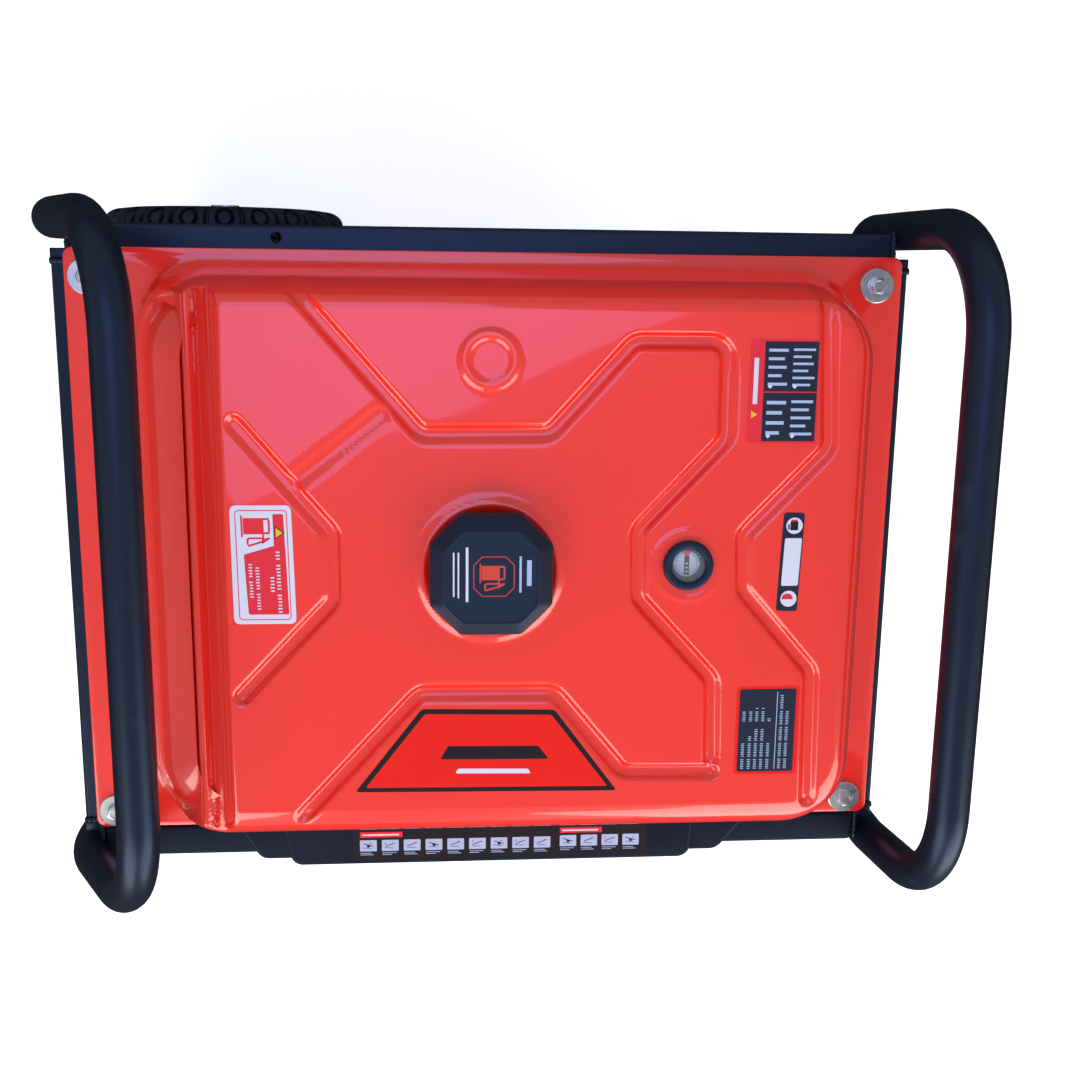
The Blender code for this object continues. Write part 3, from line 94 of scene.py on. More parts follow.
shell_low, shell_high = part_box("tank_upper_shell")
flange_top = shell_low.z + SHEET
tank_top = shell_high.z - NECK_RISE
panel_low, panel_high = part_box("control_panel")


def middle_of(node):
    low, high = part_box(node)
    return (low + high) / 2


meter = middle_of("voltmeter")
lock = middle_of("ignition_key")
breaker = middle_of("breaker_lever")


# ---------------------------------------------------------------- finishes


SKY_REFLECTION_TINT = (0.4, 0.58, 1.0, 1)  # painted reflection: a blue tint on the reflections of black rubber and plastic, standing in for an open sky reflected in them


class Value:
    """A number that varies over a surface, with the usual arithmetic."""

    def __init__(self, finish, socket):
        self.finish = finish
        self.socket = socket

    def __add__(self, other):
        return self.finish.maths("ADD", self, other)

    def __sub__(self, other):
        return self.finish.maths("SUBTRACT", self, other)

    def __rsub__(self, other):
        return self.finish.maths("SUBTRACT", other, self)

    def __mul__(self, other):
        return self.finish.maths("MULTIPLY", self, other)

    def __truediv__(self, other):
        return self.finish.maths("DIVIDE", self, other)

    def __pow__(self, other):
        return self.finish.maths("POWER", self, other)

    __radd__ = __add__
    __rmul__ = __mul__

    def between(self, low, high):
        """0 at low, 1 at high, and held there beyond them."""
        settings = {"clamp": True}
        inputs = {"Value": self, "From Min": low, "From Max": high}
        return self.finish.value("ShaderNodeMapRange", settings, inputs, "Result")


class Finish:
    """A material: fixed values on its shader, and nodes for what varies over the surface."""

    def __init__(self, name, colour, roughness, **fixed):
        self.material = bpy.data.materials.new(name)
        self.material.use_nodes = True
        self.tree = self.material.node_tree
        self.shader = self.tree.nodes["Principled BSDF"]
        self.colour = colour
        self.shader.inputs["Base Color"].default_value = (*colour, 1)
        self.shader.inputs["Roughness"].default_value = roughness
        for key, value in fixed.items():
            self.shader.inputs[key.replace("_", " ")].default_value = value
        self.material.diffuse_color = (*colour, 1)
        self.here = self.node("ShaderNodeTexCoord").outputs["Object"]

    def node(self, kind, settings=None, inputs=None):
        made = self.tree.nodes.new(kind)
        for key, value in (settings or {}).items():
            setattr(made, key, value)
        for key, value in (inputs or {}).items():
            self.feed(made.inputs[key], value)
        return made

    def feed(self, socket, value):
        if isinstance(value, Value):
            value = value.socket
        if isinstance(value, bpy.types.NodeSocket):
            self.tree.links.new(value, socket)
        else:
            socket.default_value = value

    def value(self, kind, settings, inputs, output):
        return Value(self, self.node(kind, settings, inputs).outputs[output])

    def maths(self, operation, first, second):
        return self.value("ShaderNodeMath", {"operation": operation}, {0: first, 1: second}, "Value")

    def noise(self, size, detail=3.0, stretch=(1, 1, 1), distortion=0.0):
        """Soft noise, from 0 to 1, whose features are about that size in metres."""
        scaled = self.node("ShaderNodeMapping", {}, {"Vector": self.here, "Scale": stretch}).outputs["Vector"]
        inputs = {"Vector": scaled, "Scale": 1 / size, "Detail": detail, "Distortion": distortion}
        return self.value("ShaderNodeTexNoise", {}, inputs, "Fac")

    def cells(self, size):
        """The distance from the middle of each cell, for cells about that size in metres."""
        inputs = {"Vector": self.here, "Scale": 1 / size}
        return self.value("ShaderNodeTexVoronoi", {"feature": "F1"}, inputs, "Distance")

    def position(self, axis):
        return self.value("ShaderNodeSeparateXYZ", {}, {"Vector": self.here}, axis)

    def mix(self, share, first, second):
        """A colour between two others."""
        inputs = {"Factor": share, 6: self.as_colour(first), 7: self.as_colour(second)}
        return self.node("ShaderNodeMix", {"data_type": "RGBA"}, inputs).outputs[2]

    @staticmethod
    def as_colour(colour):
        return (*colour, 1) if isinstance(colour, tuple) else colour

    def paint(self, socket, value):
        self.feed(self.shader.inputs[socket], value)
        return self

    def bump(self, height, depth, strength=1.0):
        """Relief from a height of 0 to 1, which stands for that depth in metres."""
        inputs = {"Height": height, "Distance": depth, "Strength": strength}
        self.paint("Normal", self.node("ShaderNodeBump", {}, inputs).outputs["Normal"])
        return self


def shade(colour, amount):
    return tuple(min(channel * amount, 1.0) for channel in colour)


def mottled(name, colour, roughness, patch, grain, depth, spread=0.2, **fixed):
    """A plain material as it really looks: cloudy patches of tone and gloss, and a fine grain in relief."""
    finish = Finish(name, colour, roughness, **fixed)
    clouds = finish.noise(patch, 4.0)
    finish.paint("Base Color", finish.mix(clouds, shade(colour, 1 - spread), shade(colour, 1 + spread)))
    finish.paint("Roughness", clouds * (2 * spread * roughness) + roughness * (1 - spread))
    return finish.bump(finish.noise(grain, 2.0), depth)


def tank_enamel():
    """Gloss enamel: a clear top layer with slight orange peel, and dust lying in soft patches."""
    red = (1.0, 0.0175, 0.0055)
    finish = Finish("tank_enamel", red, 0.32, Coat_Weight=1.0, Coat_Roughness=0.035, Coat_IOR=1.55)
    clouds = finish.noise(0.16, 3.0)
    finish.paint("Base Color", finish.mix(clouds, shade(red, 0.93), shade(red, 1.06)))
    dust = finish.noise(0.0021, 1.0).between(0.7, 0.78)
    finish.paint("Roughness", dust * 0.25 + 0.3)
    peel = finish.noise(0.0035, 2.0) * 0.6 + finish.noise(0.022, 2.0) * 2.2
    return finish.bump(peel, 0.00004, 0.55)


def frame_powder():
    """Satin black powder coat, with its fine orange peel and a few rubbed places, and a painted blue
    reflection of the sky in its specular tint.
    """
    black = (0.0062, 0.0085, 0.0165)
    # Specular tint: a painted blue reflection of the sky on the black powder coat
    finish = Finish("frame_powder", black, 0.36, Specular_Tint=(0.42, 0.6, 1.0, 1))
    rubbed = finish.noise(0.045, 5.0, distortion=0.6).between(0.62, 0.74)
    finish.paint("Base Color", finish.mix(rubbed, black, (0.014, 0.019, 0.032)))
    finish.paint("Roughness", finish.noise(0.02, 3.0) * 0.12 + 0.29 + rubbed * 0.09)
    return finish.bump(finish.noise(0.0011, 2.0), 0.00006, 0.6)


def zinc_plate():
    """Clear zinc plate: blue-silver, with faint yellow and violet patches."""
    silver = (0.60, 0.66, 0.72)
    finish = Finish("zinc_plate", silver, 0.28, Metallic=1.0)
    patches = finish.noise(0.006, 3.0)
    warm = finish.mix(patches.between(0.35, 0.7), silver, (0.70, 0.69, 0.60))
    finish.paint(
        "Base Color", finish.mix(finish.noise(0.011, 2.0).between(0.5, 0.8), warm, (0.55, 0.55, 0.68))
    )
    finish.paint("Roughness", patches * 0.2 + 0.2)
    return finish.bump(finish.noise(0.0006, 2.0), 0.00003, 0.5)


def tyre_rubber():
    """Dull black rubber with dry dust, more of it low down."""
    black = (0.008, 0.0095, 0.014)
    # Specular tint: a painted blue reflection of the sky on the black rubber
    finish = Finish("tyre_rubber", black, 0.58, Specular_IOR_Level=0.42, Specular_Tint=SKY_REFLECTION_TINT)
    dust = finish.noise(0.03, 5.0, distortion=0.8).between(0.5, 0.9)
    low = finish.position("Z").between(0.07, 0.0) * 0.5
    finish.paint("Base Color", finish.mix(dust * 0.12 + low * 0.3, black, (0.105, 0.095, 0.08)))
    finish.paint("Roughness", dust * 0.2 + 0.5)
    return finish.bump(finish.noise(0.0009, 3.0), 0.00008, 0.6)


def cast_metal(name, colour, roughness):
    """Sand-cast aluminium: a coarse skin with small pits and darker hollows."""
    finish = Finish(name, colour, roughness, Metallic=0.9)
    skin = finish.noise(0.0016, 4.0)
    stain = finish.noise(0.05, 4.0).between(0.4, 0.85)
    finish.paint("Base Color", finish.mix(stain * 0.5 + skin * 0.2, colour, shade(colour, 0.55)))
    finish.paint("Roughness", skin * 0.25 + roughness * 0.75)
    return finish.bump(skin, 0.00025, 0.7)


def turned_metal(name, colour, roughness, stretch):
    """Machined metal, with fine tool lines along the stretched direction."""
    finish = Finish(name, colour, roughness, Metallic=1.0)
    lines = finish.noise(0.0009, 2.0, stretch)
    finish.paint("Base Color", finish.mix(finish.noise(0.03), shade(colour, 0.85), shade(colour, 1.1)))
    finish.paint("Roughness", lines * 0.25 + roughness * 0.7)
    return finish.bump(lines, 0.00003, 0.6)


def hot_steel():
    """Silencer sheet: straw and blue heat tints near the pipe, dull further away."""
    grey = (0.34, 0.33, 0.32)
    low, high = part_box("silencer")
    finish = Finish("hot_steel", grey, 0.42, Metallic=1.0)
    away = finish.position("X").between(low.x, low.x + (high.x - low.x) * 0.55)
    wander = away + finish.noise(0.04, 4.0) * 0.5 - 0.25
    straw = finish.mix(wander.between(0.0, 0.45), (0.17, 0.15, 0.24), (0.42, 0.30, 0.16))
    finish.paint("Base Color", finish.mix(wander.between(0.35, 0.9), straw, grey))
    finish.paint("Roughness", finish.noise(0.012, 4.0) * 0.3 + 0.28)
    return finish.bump(finish.noise(0.0012, 3.0), 0.00008, 0.5)


def filter_sponge():
    """Open-cell foam, with pores whose insides are darkened by painted shade."""
    grey = (0.07, 0.07, 0.075)
    finish = Finish("filter_sponge", grey, 0.95)
    pore_depth_and_shade = finish.cells(0.0016).between(0.25, 0.6)
    # Near-black inside each pore: painted shade where the open cells fall into shadow
    finish.paint("Base Color", finish.mix(pore_depth_and_shade, (0.012, 0.012, 0.013), shade(grey, 1.4)))
    return finish.bump(pore_depth_and_shade, 0.0006)


def clear_plastic():
    """Clear acrylic with a light haze."""
    finish = Finish(
        "clear_plastic", (0.86, 0.9, 0.92), 0.05, Alpha=0.07, Coat_Weight=1.0, Coat_Roughness=0.03
    )
    return finish.bump(finish.noise(0.008, 2.0), 0.00004, 0.3)


def vinyl(name, colour, roughness=0.34):
    """Printed label film."""
    return mottled(name, colour, roughness, 0.02, 0.0012, 0.00002, 0.05, Specular_IOR_Level=0.28)


enamel = tank_enamel()
powder = frame_powder()
zinc = zinc_plate()
tyre_black = tyre_rubber()
rubber = mottled("moulded_rubber", (0.016, 0.016, 0.017), 0.7, 0.03, 0.0008, 0.00008, 0.25)
# Specular tint: a painted blue reflection of the sky on the grained plastic
grained = mottled(
    "grained_plastic", (0.0062, 0.0082, 0.0155), 0.44, 0.05, 0.0009, 0.00012, 0.14,
    Specular_Tint=SKY_REFLECTION_TINT, Specular_IOR_Level=0.22
)
# Specular tint: a painted blue reflection of the sky on the cap's plastic
cap_plastic = mottled(
    "cap_plastic", (0.010, 0.0145, 0.026), 0.46, 0.03, 0.0006, 0.00005, 0.1, Specular_Tint=SKY_REFLECTION_TINT
)
cast = cast_metal("cast_aluminium_skin", (0.56, 0.57, 0.58), 0.46)
steel = turned_metal("machined_steel", (0.42, 0.42, 0.43), 0.34, (0.06, 1, 1))
silencer_sheet = hot_steel()
windings = turned_metal("copper_windings", (0.62, 0.25, 0.10), 0.4, (0.05, 1, 1))
brass = turned_metal("turned_brass", (0.62, 0.45, 0.17), 0.28, (0.1, 1, 1))
ivory = mottled("white_moulding", (0.74, 0.74, 0.71), 0.36, 0.02, 0.0009, 0.00004, 0.05)
acrylic = clear_plastic()
signal = mottled("red_moulding", (0.66, 0.022, 0.018), 0.34, 0.02, 0.0009, 0.00005, 0.1)
sponge = filter_sponge()
rope_braid = turned_metal("braided_rope", (0.55, 0.53, 0.48), 0.8, (1, 4, 4))
film_white = vinyl("film_white", (0.74, 0.75, 0.86))
film_red = vinyl("film_red", (0.82, 0.028, 0.045))
film_deep_red = vinyl("film_deep_red", (0.88, 0.014, 0.008), 0.28)
film_navy = vinyl("film_navy", (0.014, 0.019, 0.042))
film_black = vinyl("film_black", (0.012, 0.009, 0.012), 0.3)
film_blue = vinyl("film_pale_blue", (0.42, 0.55, 0.78))
film_yellow = vinyl("film_yellow", (0.85, 0.55, 0.03))
film_orange = vinyl("film_orange", (0.68, 0.07, 0.045))

SLOT_FINISHES = {
    "frame_black": powder,
    "tank_red": enamel,
    "zinc": zinc,
    "rubber": rubber,
    "tyre": tyre_black,
    "black_plastic": grained,
    "cast_aluminium": cast,
    "steel": steel,
    "silencer_steel": silencer_sheet,
    "rotor": windings,
    "brass": brass,
    "white_plastic": ivory,
    "clear_lens": acrylic,
    "signal_red": signal,
    "filter_foam": sponge,
}


def finish_cad_nodes():
    """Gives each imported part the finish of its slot."""
    for row in frame["record"]["subparts"]:
        obj = frame["nodes"][row["node"]]
        obj.data.materials.clear()
        obj.data.materials.append(SLOT_FINISHES[row["material_slot"]].material)


# ---------------------------------------------------------------- shapes


def settle(obj, finish, body=CHASSIS, stands_for=(), crease=35):
    """Gives a finished piece its material and body, and hides the parts it stands for."""
    finishes = finish if isinstance(finish, (list, tuple)) else [finish]
    for one in finishes:
        obj.data.materials.append(one.material)
    obj.data.shade_smooth()
    obj.data.set_sharp_from_angle(angle=math.radians(crease))
    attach(obj, body)
    if stands_for:
        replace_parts(obj, *stands_for)
    return obj


def to_object(name, shape):
    bmesh.ops.recalc_face_normals(shape, faces=shape.faces)
    mesh = bpy.data.meshes.new(name)
    shape.to_mesh(mesh)
    shape.free()
    obj = bpy.data.objects.new(name, mesh)
    bpy.context.scene.collection.objects.link(obj)
    return obj


def rounded_box(shape, low, high, rounding):
    """Adds a box with rounded edges between two corners."""
    low = Vector(low)
    high = Vector(high)
    made = bmesh.ops.create_cube(shape, size=1)["verts"]
    bmesh.ops.scale(shape, vec=high - low, verts=made)
    bmesh.ops.translate(shape, vec=(low + high) / 2, verts=made)
    if rounding:
        edges = list({edge for vertex in made for edge in vertex.link_edges})
        bmesh.ops.bevel(shape, geom=edges, offset=rounding, segments=2, profile=0.5, affect="EDGES")


def along(start, end):
    """The turn and place that put the Z axis on the line from start to end."""
    start = Vector(start)
    direction = Vector(end) - start
    turn = direction.to_track_quat("Z", "Y").to_matrix().to_4x4()
    return Matrix.Translation(start) @ turn, direction.length


def add_lathe(shape, profile, matrix, steps=48, ring=False):
    """Adds a turned shape to a mesh: (radius, height) points turned about the matrix's Z axis."""
    rows = []
    for radius, height in profile:
        row = []
        for i in range(steps):
            angle = math.tau * i / steps
            point = Vector((radius * math.cos(angle), radius * math.sin(angle), height))
            row.append(shape.verts.new(matrix @ point))
        rows.append(row)
    pairs = list(zip(rows, rows[1:]))
    if ring:
        pairs.append((rows[-1], rows[0]))
    for row, after in pairs:
        for i in range(steps):
            j = (i + 1) % steps
            shape.faces.new((row[i], row[j], after[j], after[i]))
    if not ring:
        for row, (radius, _) in ((rows[0], profile[0]), (rows[-1], profile[-1])):
            if radius > 0.00002:
                shape.faces.new(row)
    bmesh.ops.remove_doubles(shape, verts=[v for row in rows for v in row], dist=0.000005)


def lathe(name, profile, matrix, steps=64, ring=False):
    shape = bmesh.new()
    add_lathe(shape, profile, matrix, steps, ring)
    return to_object(name, shape)


def arc(centre, radius, first, last, steps):
    """Points of a profile on an arc, in degrees."""
    points = []
    for i in range(steps + 1):
        angle = math.radians(first + (last - first) * i / steps)
        points.append((centre[0] + radius * math.cos(angle), centre[1] + radius * math.sin(angle)))
    return points


def bent_path(corners, bends, steps=12):
    """The corners joined by straight runs, with an arc of the given bend radius at each inner corner."""
    corners = [Vector(corner) for corner in corners]
    path = [corners[0]]
    for before, corner, after, bend in zip(corners, corners[1:], corners[2:], bends):
        back = (before - corner).normalized()
        ahead = (after - corner).normalized()
        half = back.angle(ahead) / 2
        middle = corner + (back + ahead).normalized() * bend / math.sin(half)
        first = (corner + back * bend / math.tan(half) - middle).normalized()
        last = (corner + ahead * bend / math.tan(half) - middle).normalized()
        path += [middle + first.slerp(last, i / steps) * bend for i in range(steps + 1)]
    path.append(corners[-1])
    return path


def add_pipe(shape, path, radius, sides=28, closed=False, swell=None):
    """Adds a tube along a path. swell(i) changes the radius from point to point."""
    path = [Vector(point) for point in path]
    count = len(path)
    rows = []
    side = None
    for i, point in enumerate(path):
        before = path[i - 1] if i or closed else point
        after = path[(i + 1) % count] if i < count - 1 or closed else point
        direction = (after - before).normalized()
        if side is None:
            side = direction.orthogonal().normalized()
        side = (side - direction * side.dot(direction)).normalized()
        other = direction.cross(side)
        size = radius * (swell(i) if swell else 1)
        row = []
        for k in range(sides):
            angle = math.tau * k / sides
            row.append(shape.verts.new(point + (side * math.cos(angle) + other * math.sin(angle)) * size))
        rows.append(row)
    pairs = list(zip(rows, rows[1:]))
    if closed:
        pairs.append((rows[-1], rows[0]))
    for row, after in pairs:
        for k in range(sides):
            n = (k + 1) % sides
            shape.faces.new((row[k], row[n], after[n], after[k]))
    if not closed:
        shape.faces.new(rows[0])
        shape.faces.new(rows[-1])


def pipe(name, path, radius, sides=28, closed=False, swell=None):
    shape = bmesh.new()
    add_pipe(shape, path, radius, sides, closed, swell)
    return to_object(name, shape)


def add_plate(shape, outline, matrix, thickness, rounding=0.0, material=0):
    """Adds a flat plate: a 2D outline on the matrix's XY plane, with its thickness along Z."""
    low = [shape.verts.new(matrix @ Vector((x, y, 0))) for x, y in outline]
    high = [shape.verts.new(matrix @ Vector((x, y, thickness))) for x, y in outline]
    bottom = shape.faces.new(low[::-1])
    top = shape.faces.new(high)
    made = [bottom, top]
    for i in range(len(outline)):
        j = (i + 1) % len(outline)
        made.append(shape.faces.new((low[i], low[j], high[j], high[i])))
    for face in made:
        face.material_index = material
    if rounding:
        edges = list(top.edges)
        bmesh.ops.bevel(shape, geom=edges, offset=rounding, segments=3, profile=0.5, affect="EDGES")


def plate(name, outline, matrix, thickness, rounding=0.0):
    shape = bmesh.new()
    add_plate(shape, outline, matrix, thickness, rounding)
    return to_object(name, shape)


def carve(obj, *tools, operation="DIFFERENCE"):
    """Cuts the tools out of a piece, or joins them to it, and removes them."""
    for tool in tools:
        modifier = obj.modifiers.new("carve", "BOOLEAN")
        modifier.operation = operation
        modifier.object = tool
    graph = bpy.context.evaluated_depsgraph_get()
    mesh = bpy.data.meshes.new_from_object(obj.evaluated_get(graph))
    obj.modifiers.clear()
    obj.data = mesh
    for tool in tools:
        bpy.data.objects.remove(tool)
    return obj


def rounded_outline(corners, radius, steps=5):
    """A closed outline with its corners rounded."""
    points = []
    for i, corner in enumerate(corners):
        corner = Vector(corner)
        back = Vector(corners[i - 1]) - corner
        ahead = Vector(corners[(i + 1) % len(corners)]) - corner
        reach = min(radius, back.length * 0.49, ahead.length * 0.49)
        start = corner + back.normalized() * reach
        end = corner + ahead.normalized() * reach
        for k in range(steps + 1):
            t = k / steps
            points.append(tuple(start * (1 - t) ** 2 + corner * 2 * t * (1 - t) + end * t * t))
    return points


def rectangle(left, front, right, back):
    return [(left, front), (right, front), (right, back), (left, back)]


def regular(sides, radius):
    """The corners of a regular outline, the first of them on the X axis."""
    turns = [math.tau * i / sides for i in range(sides)]
    return [(radius * math.cos(turn), radius * math.sin(turn)) for turn in turns]


def add_hex_bolt(shape, place, direction, across, spring=False):
    """Adds a hexagon head on its washer, and a spring washer if asked. across is the width over the flats."""
    matrix, _ = along(place, Vector(place) + Vector(direction))
    wide = across * 0.98
    rim = across * 0.02
    level = across * 0.13
    ring = [(0, 0), (wide, 0), (wide + rim, rim), (wide + rim, across * 0.1), (wide, level), (0, level)]
    add_lathe(shape, ring, matrix, 40)
    if spring:
        wide = across * 0.62
        top = level + across * 0.14
        add_lathe(shape, [(0, level), (wide, level), (wide, top), (0, top)], matrix, 32)
        level = top
    head = matrix @ Matrix.Translation((0, 0, level))
    radius = across / 2 / math.cos(math.pi / 6)
    height = across * 0.34
    top = across * 0.42
    add_plate(shape, regular(6, radius), head, height)
    add_lathe(shape, [(0, top), (across * 0.34, top), (across * 0.475, height), (0, height)], head, 24)


def bolts(name, places, direction, across):
    shape = bmesh.new()
    for place in places:
        add_hex_bolt(shape, place, direction, across)
    return settle(to_object(name, shape), zinc, crease=25)


# ---------------------------------------------------------------- tank


def smooth_step(low, high, value):
    t = np.clip((value - low) / (high - low), 0, 1)
    return t * t * (3 - 2 * t)


def soft_least(first, second, width):
    """The lesser of two heights, with the crease between them rounded."""
    h = np.clip(0.5 + 0.5 * (second - first) / width, 0, 1)
    return second * (1 - h) + first * h - width * h * (1 - h)


def distance_to(path, x, y):
    """How far each point is from a path of straight runs."""
    nearest = np.full(x.shape, 1.0)
    for (ax, ay), (bx, by) in zip(path, path[1:]):
        dx = bx - ax
        dy = by - ay
        t = np.clip(((x - ax) * dx + (y - ay) * dy) / (dx * dx + dy * dy), 0, 1)
        nearest = np.minimum(nearest, np.hypot(x - ax - t * dx, y - ay - t * dy))
    return nearest


def groove_path(*corners, bend=14):
    points = bent_path([(x * MM, y * MM, 0) for x, y in corners], [bend * MM] * (len(corners) - 2), 5)
    return [(point.x, point.y) for point in points]


GROOVES = (
    # path, half width, depth
    (groove_path((-152, 223), (-56, 113), (42, 114), (105, 184), (176, 184), (177, 110), (111, 39),
                 (113, -16), (174, -83), (176, -150)), GROOVE_HALF_WIDTH, GROOVE_DEPTH),
    (groove_path((-86, 128), (-148, 79)), 9 * MM, 2.6 * MM),
    (groove_path((-194, 120), (-124, 37), (-124, -16), (-195, -92)), 8.5 * MM, 4.4 * MM),
    (groove_path((251, 222), (258, 103), (194, 35), (196, -10), (254, -77), (257, -186)), 8 * MM, 4.4 * MM),
    (
        groove_path((-150, -192), (-58, -91), (48, -92), (104, -160), (176, -161)),
        GROOVE_HALF_WIDTH,
        GROOVE_DEPTH,
    ),
)

# height of the steps at the tank's left end, from the flange, at places along X
LEFT_STEPS = (
    (-300, 28), (-268, 33), (-261, 37), (-256, 42), (-236, 74), (-232.5, 79), (-229, 81), (-226.5, 80),
    (-224.5, 76.5), (-222.5, 77), (-221, 79), (-212, 81), (-209, 85), (-204, 97), (-199, 103), (400, 103),
)

# rise as a share of the tank's height, inset from the flange's edge (left, right, front, back), corner
WALL_ROWS = (
    (0.000, 47.0, 33.0, 8.0, 8.0, 58),
    (0.012, 52.0, 36.0, 10.5, 10.5, 58),
    (0.060, 55.0, 37.5, 11.6, 12.0, 58),
    (0.200, 58.0, 38.5, 12.8, 14.5, 58),
    (0.360, 61.0, 39.5, 15.0, 17.5, 58),
    (0.580, 64.0, 41.5, 19.0, 21.0, 58),
    (0.780, 70.0, 45.0, 26.0, 25.5, 56),
    (0.900, 78.0, 49.5, 33.0, 29.5, 50),
    (0.970, 88.0, 55.0, 41.0, 34.0, 44),
    (1.000, 100.0, 64.0, 52.0, 42.0, 38),
)
WALL_RINGS = 40
FINE_RINGS = 44  # rings a millimetre apart, over the steps at the left end
COARSE_RINGS = 56
LONG_STEPS = 226
SHORT_STEPS = 148
CORNER_STEPS = 26


def wall_row(t):
    """The wall's row at t from 0 to 1, on a smooth curve through the rows."""
    rows = np.array(WALL_ROWS)
    spot = t * (len(rows) - 1)
    k = min(int(spot), len(rows) - 2)
    s = spot - k
    before = rows[max(k - 1, 0)]
    after = rows[min(k + 2, len(rows) - 1)]
    slope_a = (rows[k + 1] - before) / 2
    slope_b = (after - rows[k]) / 2
    return (
        rows[k] * (2 * s**3 - 3 * s**2 + 1)
        + slope_a * (s**3 - 2 * s**2 + s)
        + rows[k + 1] * (3 * s**2 - 2 * s**3)
        + slope_b * (s**3 - s**2)
    )


def rounded_ring(left, right, front, back, corner):
    """Points round a rectangle with round corners, equally many on every ring."""
    spots = (
        (right - corner, back - corner, 0, LONG_STEPS, (-1, 0)),
        (left + corner, back - corner, 90, SHORT_STEPS, (0, -1)),
        (left + corner, front + corner, 180, LONG_STEPS, (1, 0)),
        (right - corner, front + corner, 270, SHORT_STEPS, (0, 1)),
    )
    runs = (right - left - 2 * corner, back - front - 2 * corner)
    points = []
    for x, y, first, steps, (dx, dy) in spots:
        for i in range(CORNER_STEPS):
            angle = math.radians(first + 90 * i / CORNER_STEPS)
            points.append((x + corner * math.cos(angle), y + corner * math.sin(angle)))
        end = math.radians(first + 90)
        start = (x + corner * math.cos(end), y + corner * math.sin(end))
        run = runs[0] if dx else runs[1]
        for i in range(steps):
            points.append((start[0] + dx * run * i / steps, start[1] + dy * run * i / steps))
    return points


def pressing_relief(x, y, height):
    """The height of the tank's skin at each point, from its plain height there."""
    steps = np.array(LEFT_STEPS) * MM
    limit = flange_top + np.interp(x, steps[:, 0], steps[:, 1])
    level = soft_least(height, limit, 4 * MM)
    raised = smooth_step(0.45, 0.75, (height - flange_top) / (tank_top - flange_top))
    for path, half_width, depth in GROOVES:
        near = distance_to(path, x, y) / half_width
        level = level - raised * depth * (1 - smooth_step(0.32, 1.0, near))
    filler = middle_of("fuel_cap")
    ring = np.hypot(x - filler.x, y - filler.y)
    level = level + raised * 3.2 * MM * np.exp(-(((ring - 52 * MM) / (4.2 * MM)) ** 2))
    level = level - raised * 1.2 * MM * (1 - smooth_step(44 * MM, 51 * MM, ring))
    boss = np.hypot(x - BOSS.x, y - BOSS.y)
    level = level + 2.6 * MM * (1 - smooth_step(20.5 * MM, 25 * MM, boss))
    level = level - 2.0 * MM * (1 - smooth_step(13.5 * MM, 17.5 * MM, boss))
    gauge = middle_of("gauge_body")
    well = np.hypot(x - gauge.x, y - gauge.y)
    level = level + raised * 0.9 * MM * np.exp(-(((well - 27 * MM) / (3 * MM)) ** 2))
    level = level - 12 * MM * (1 - smooth_step(15 * MM, 17 * MM, well))
    wave = np.sin(x * 41 + np.sin(y * 23) * 1.3) + np.sin(y * 37 + np.sin(x * 19) * 1.7)
    return level + raised * 0.09 * MM * wave


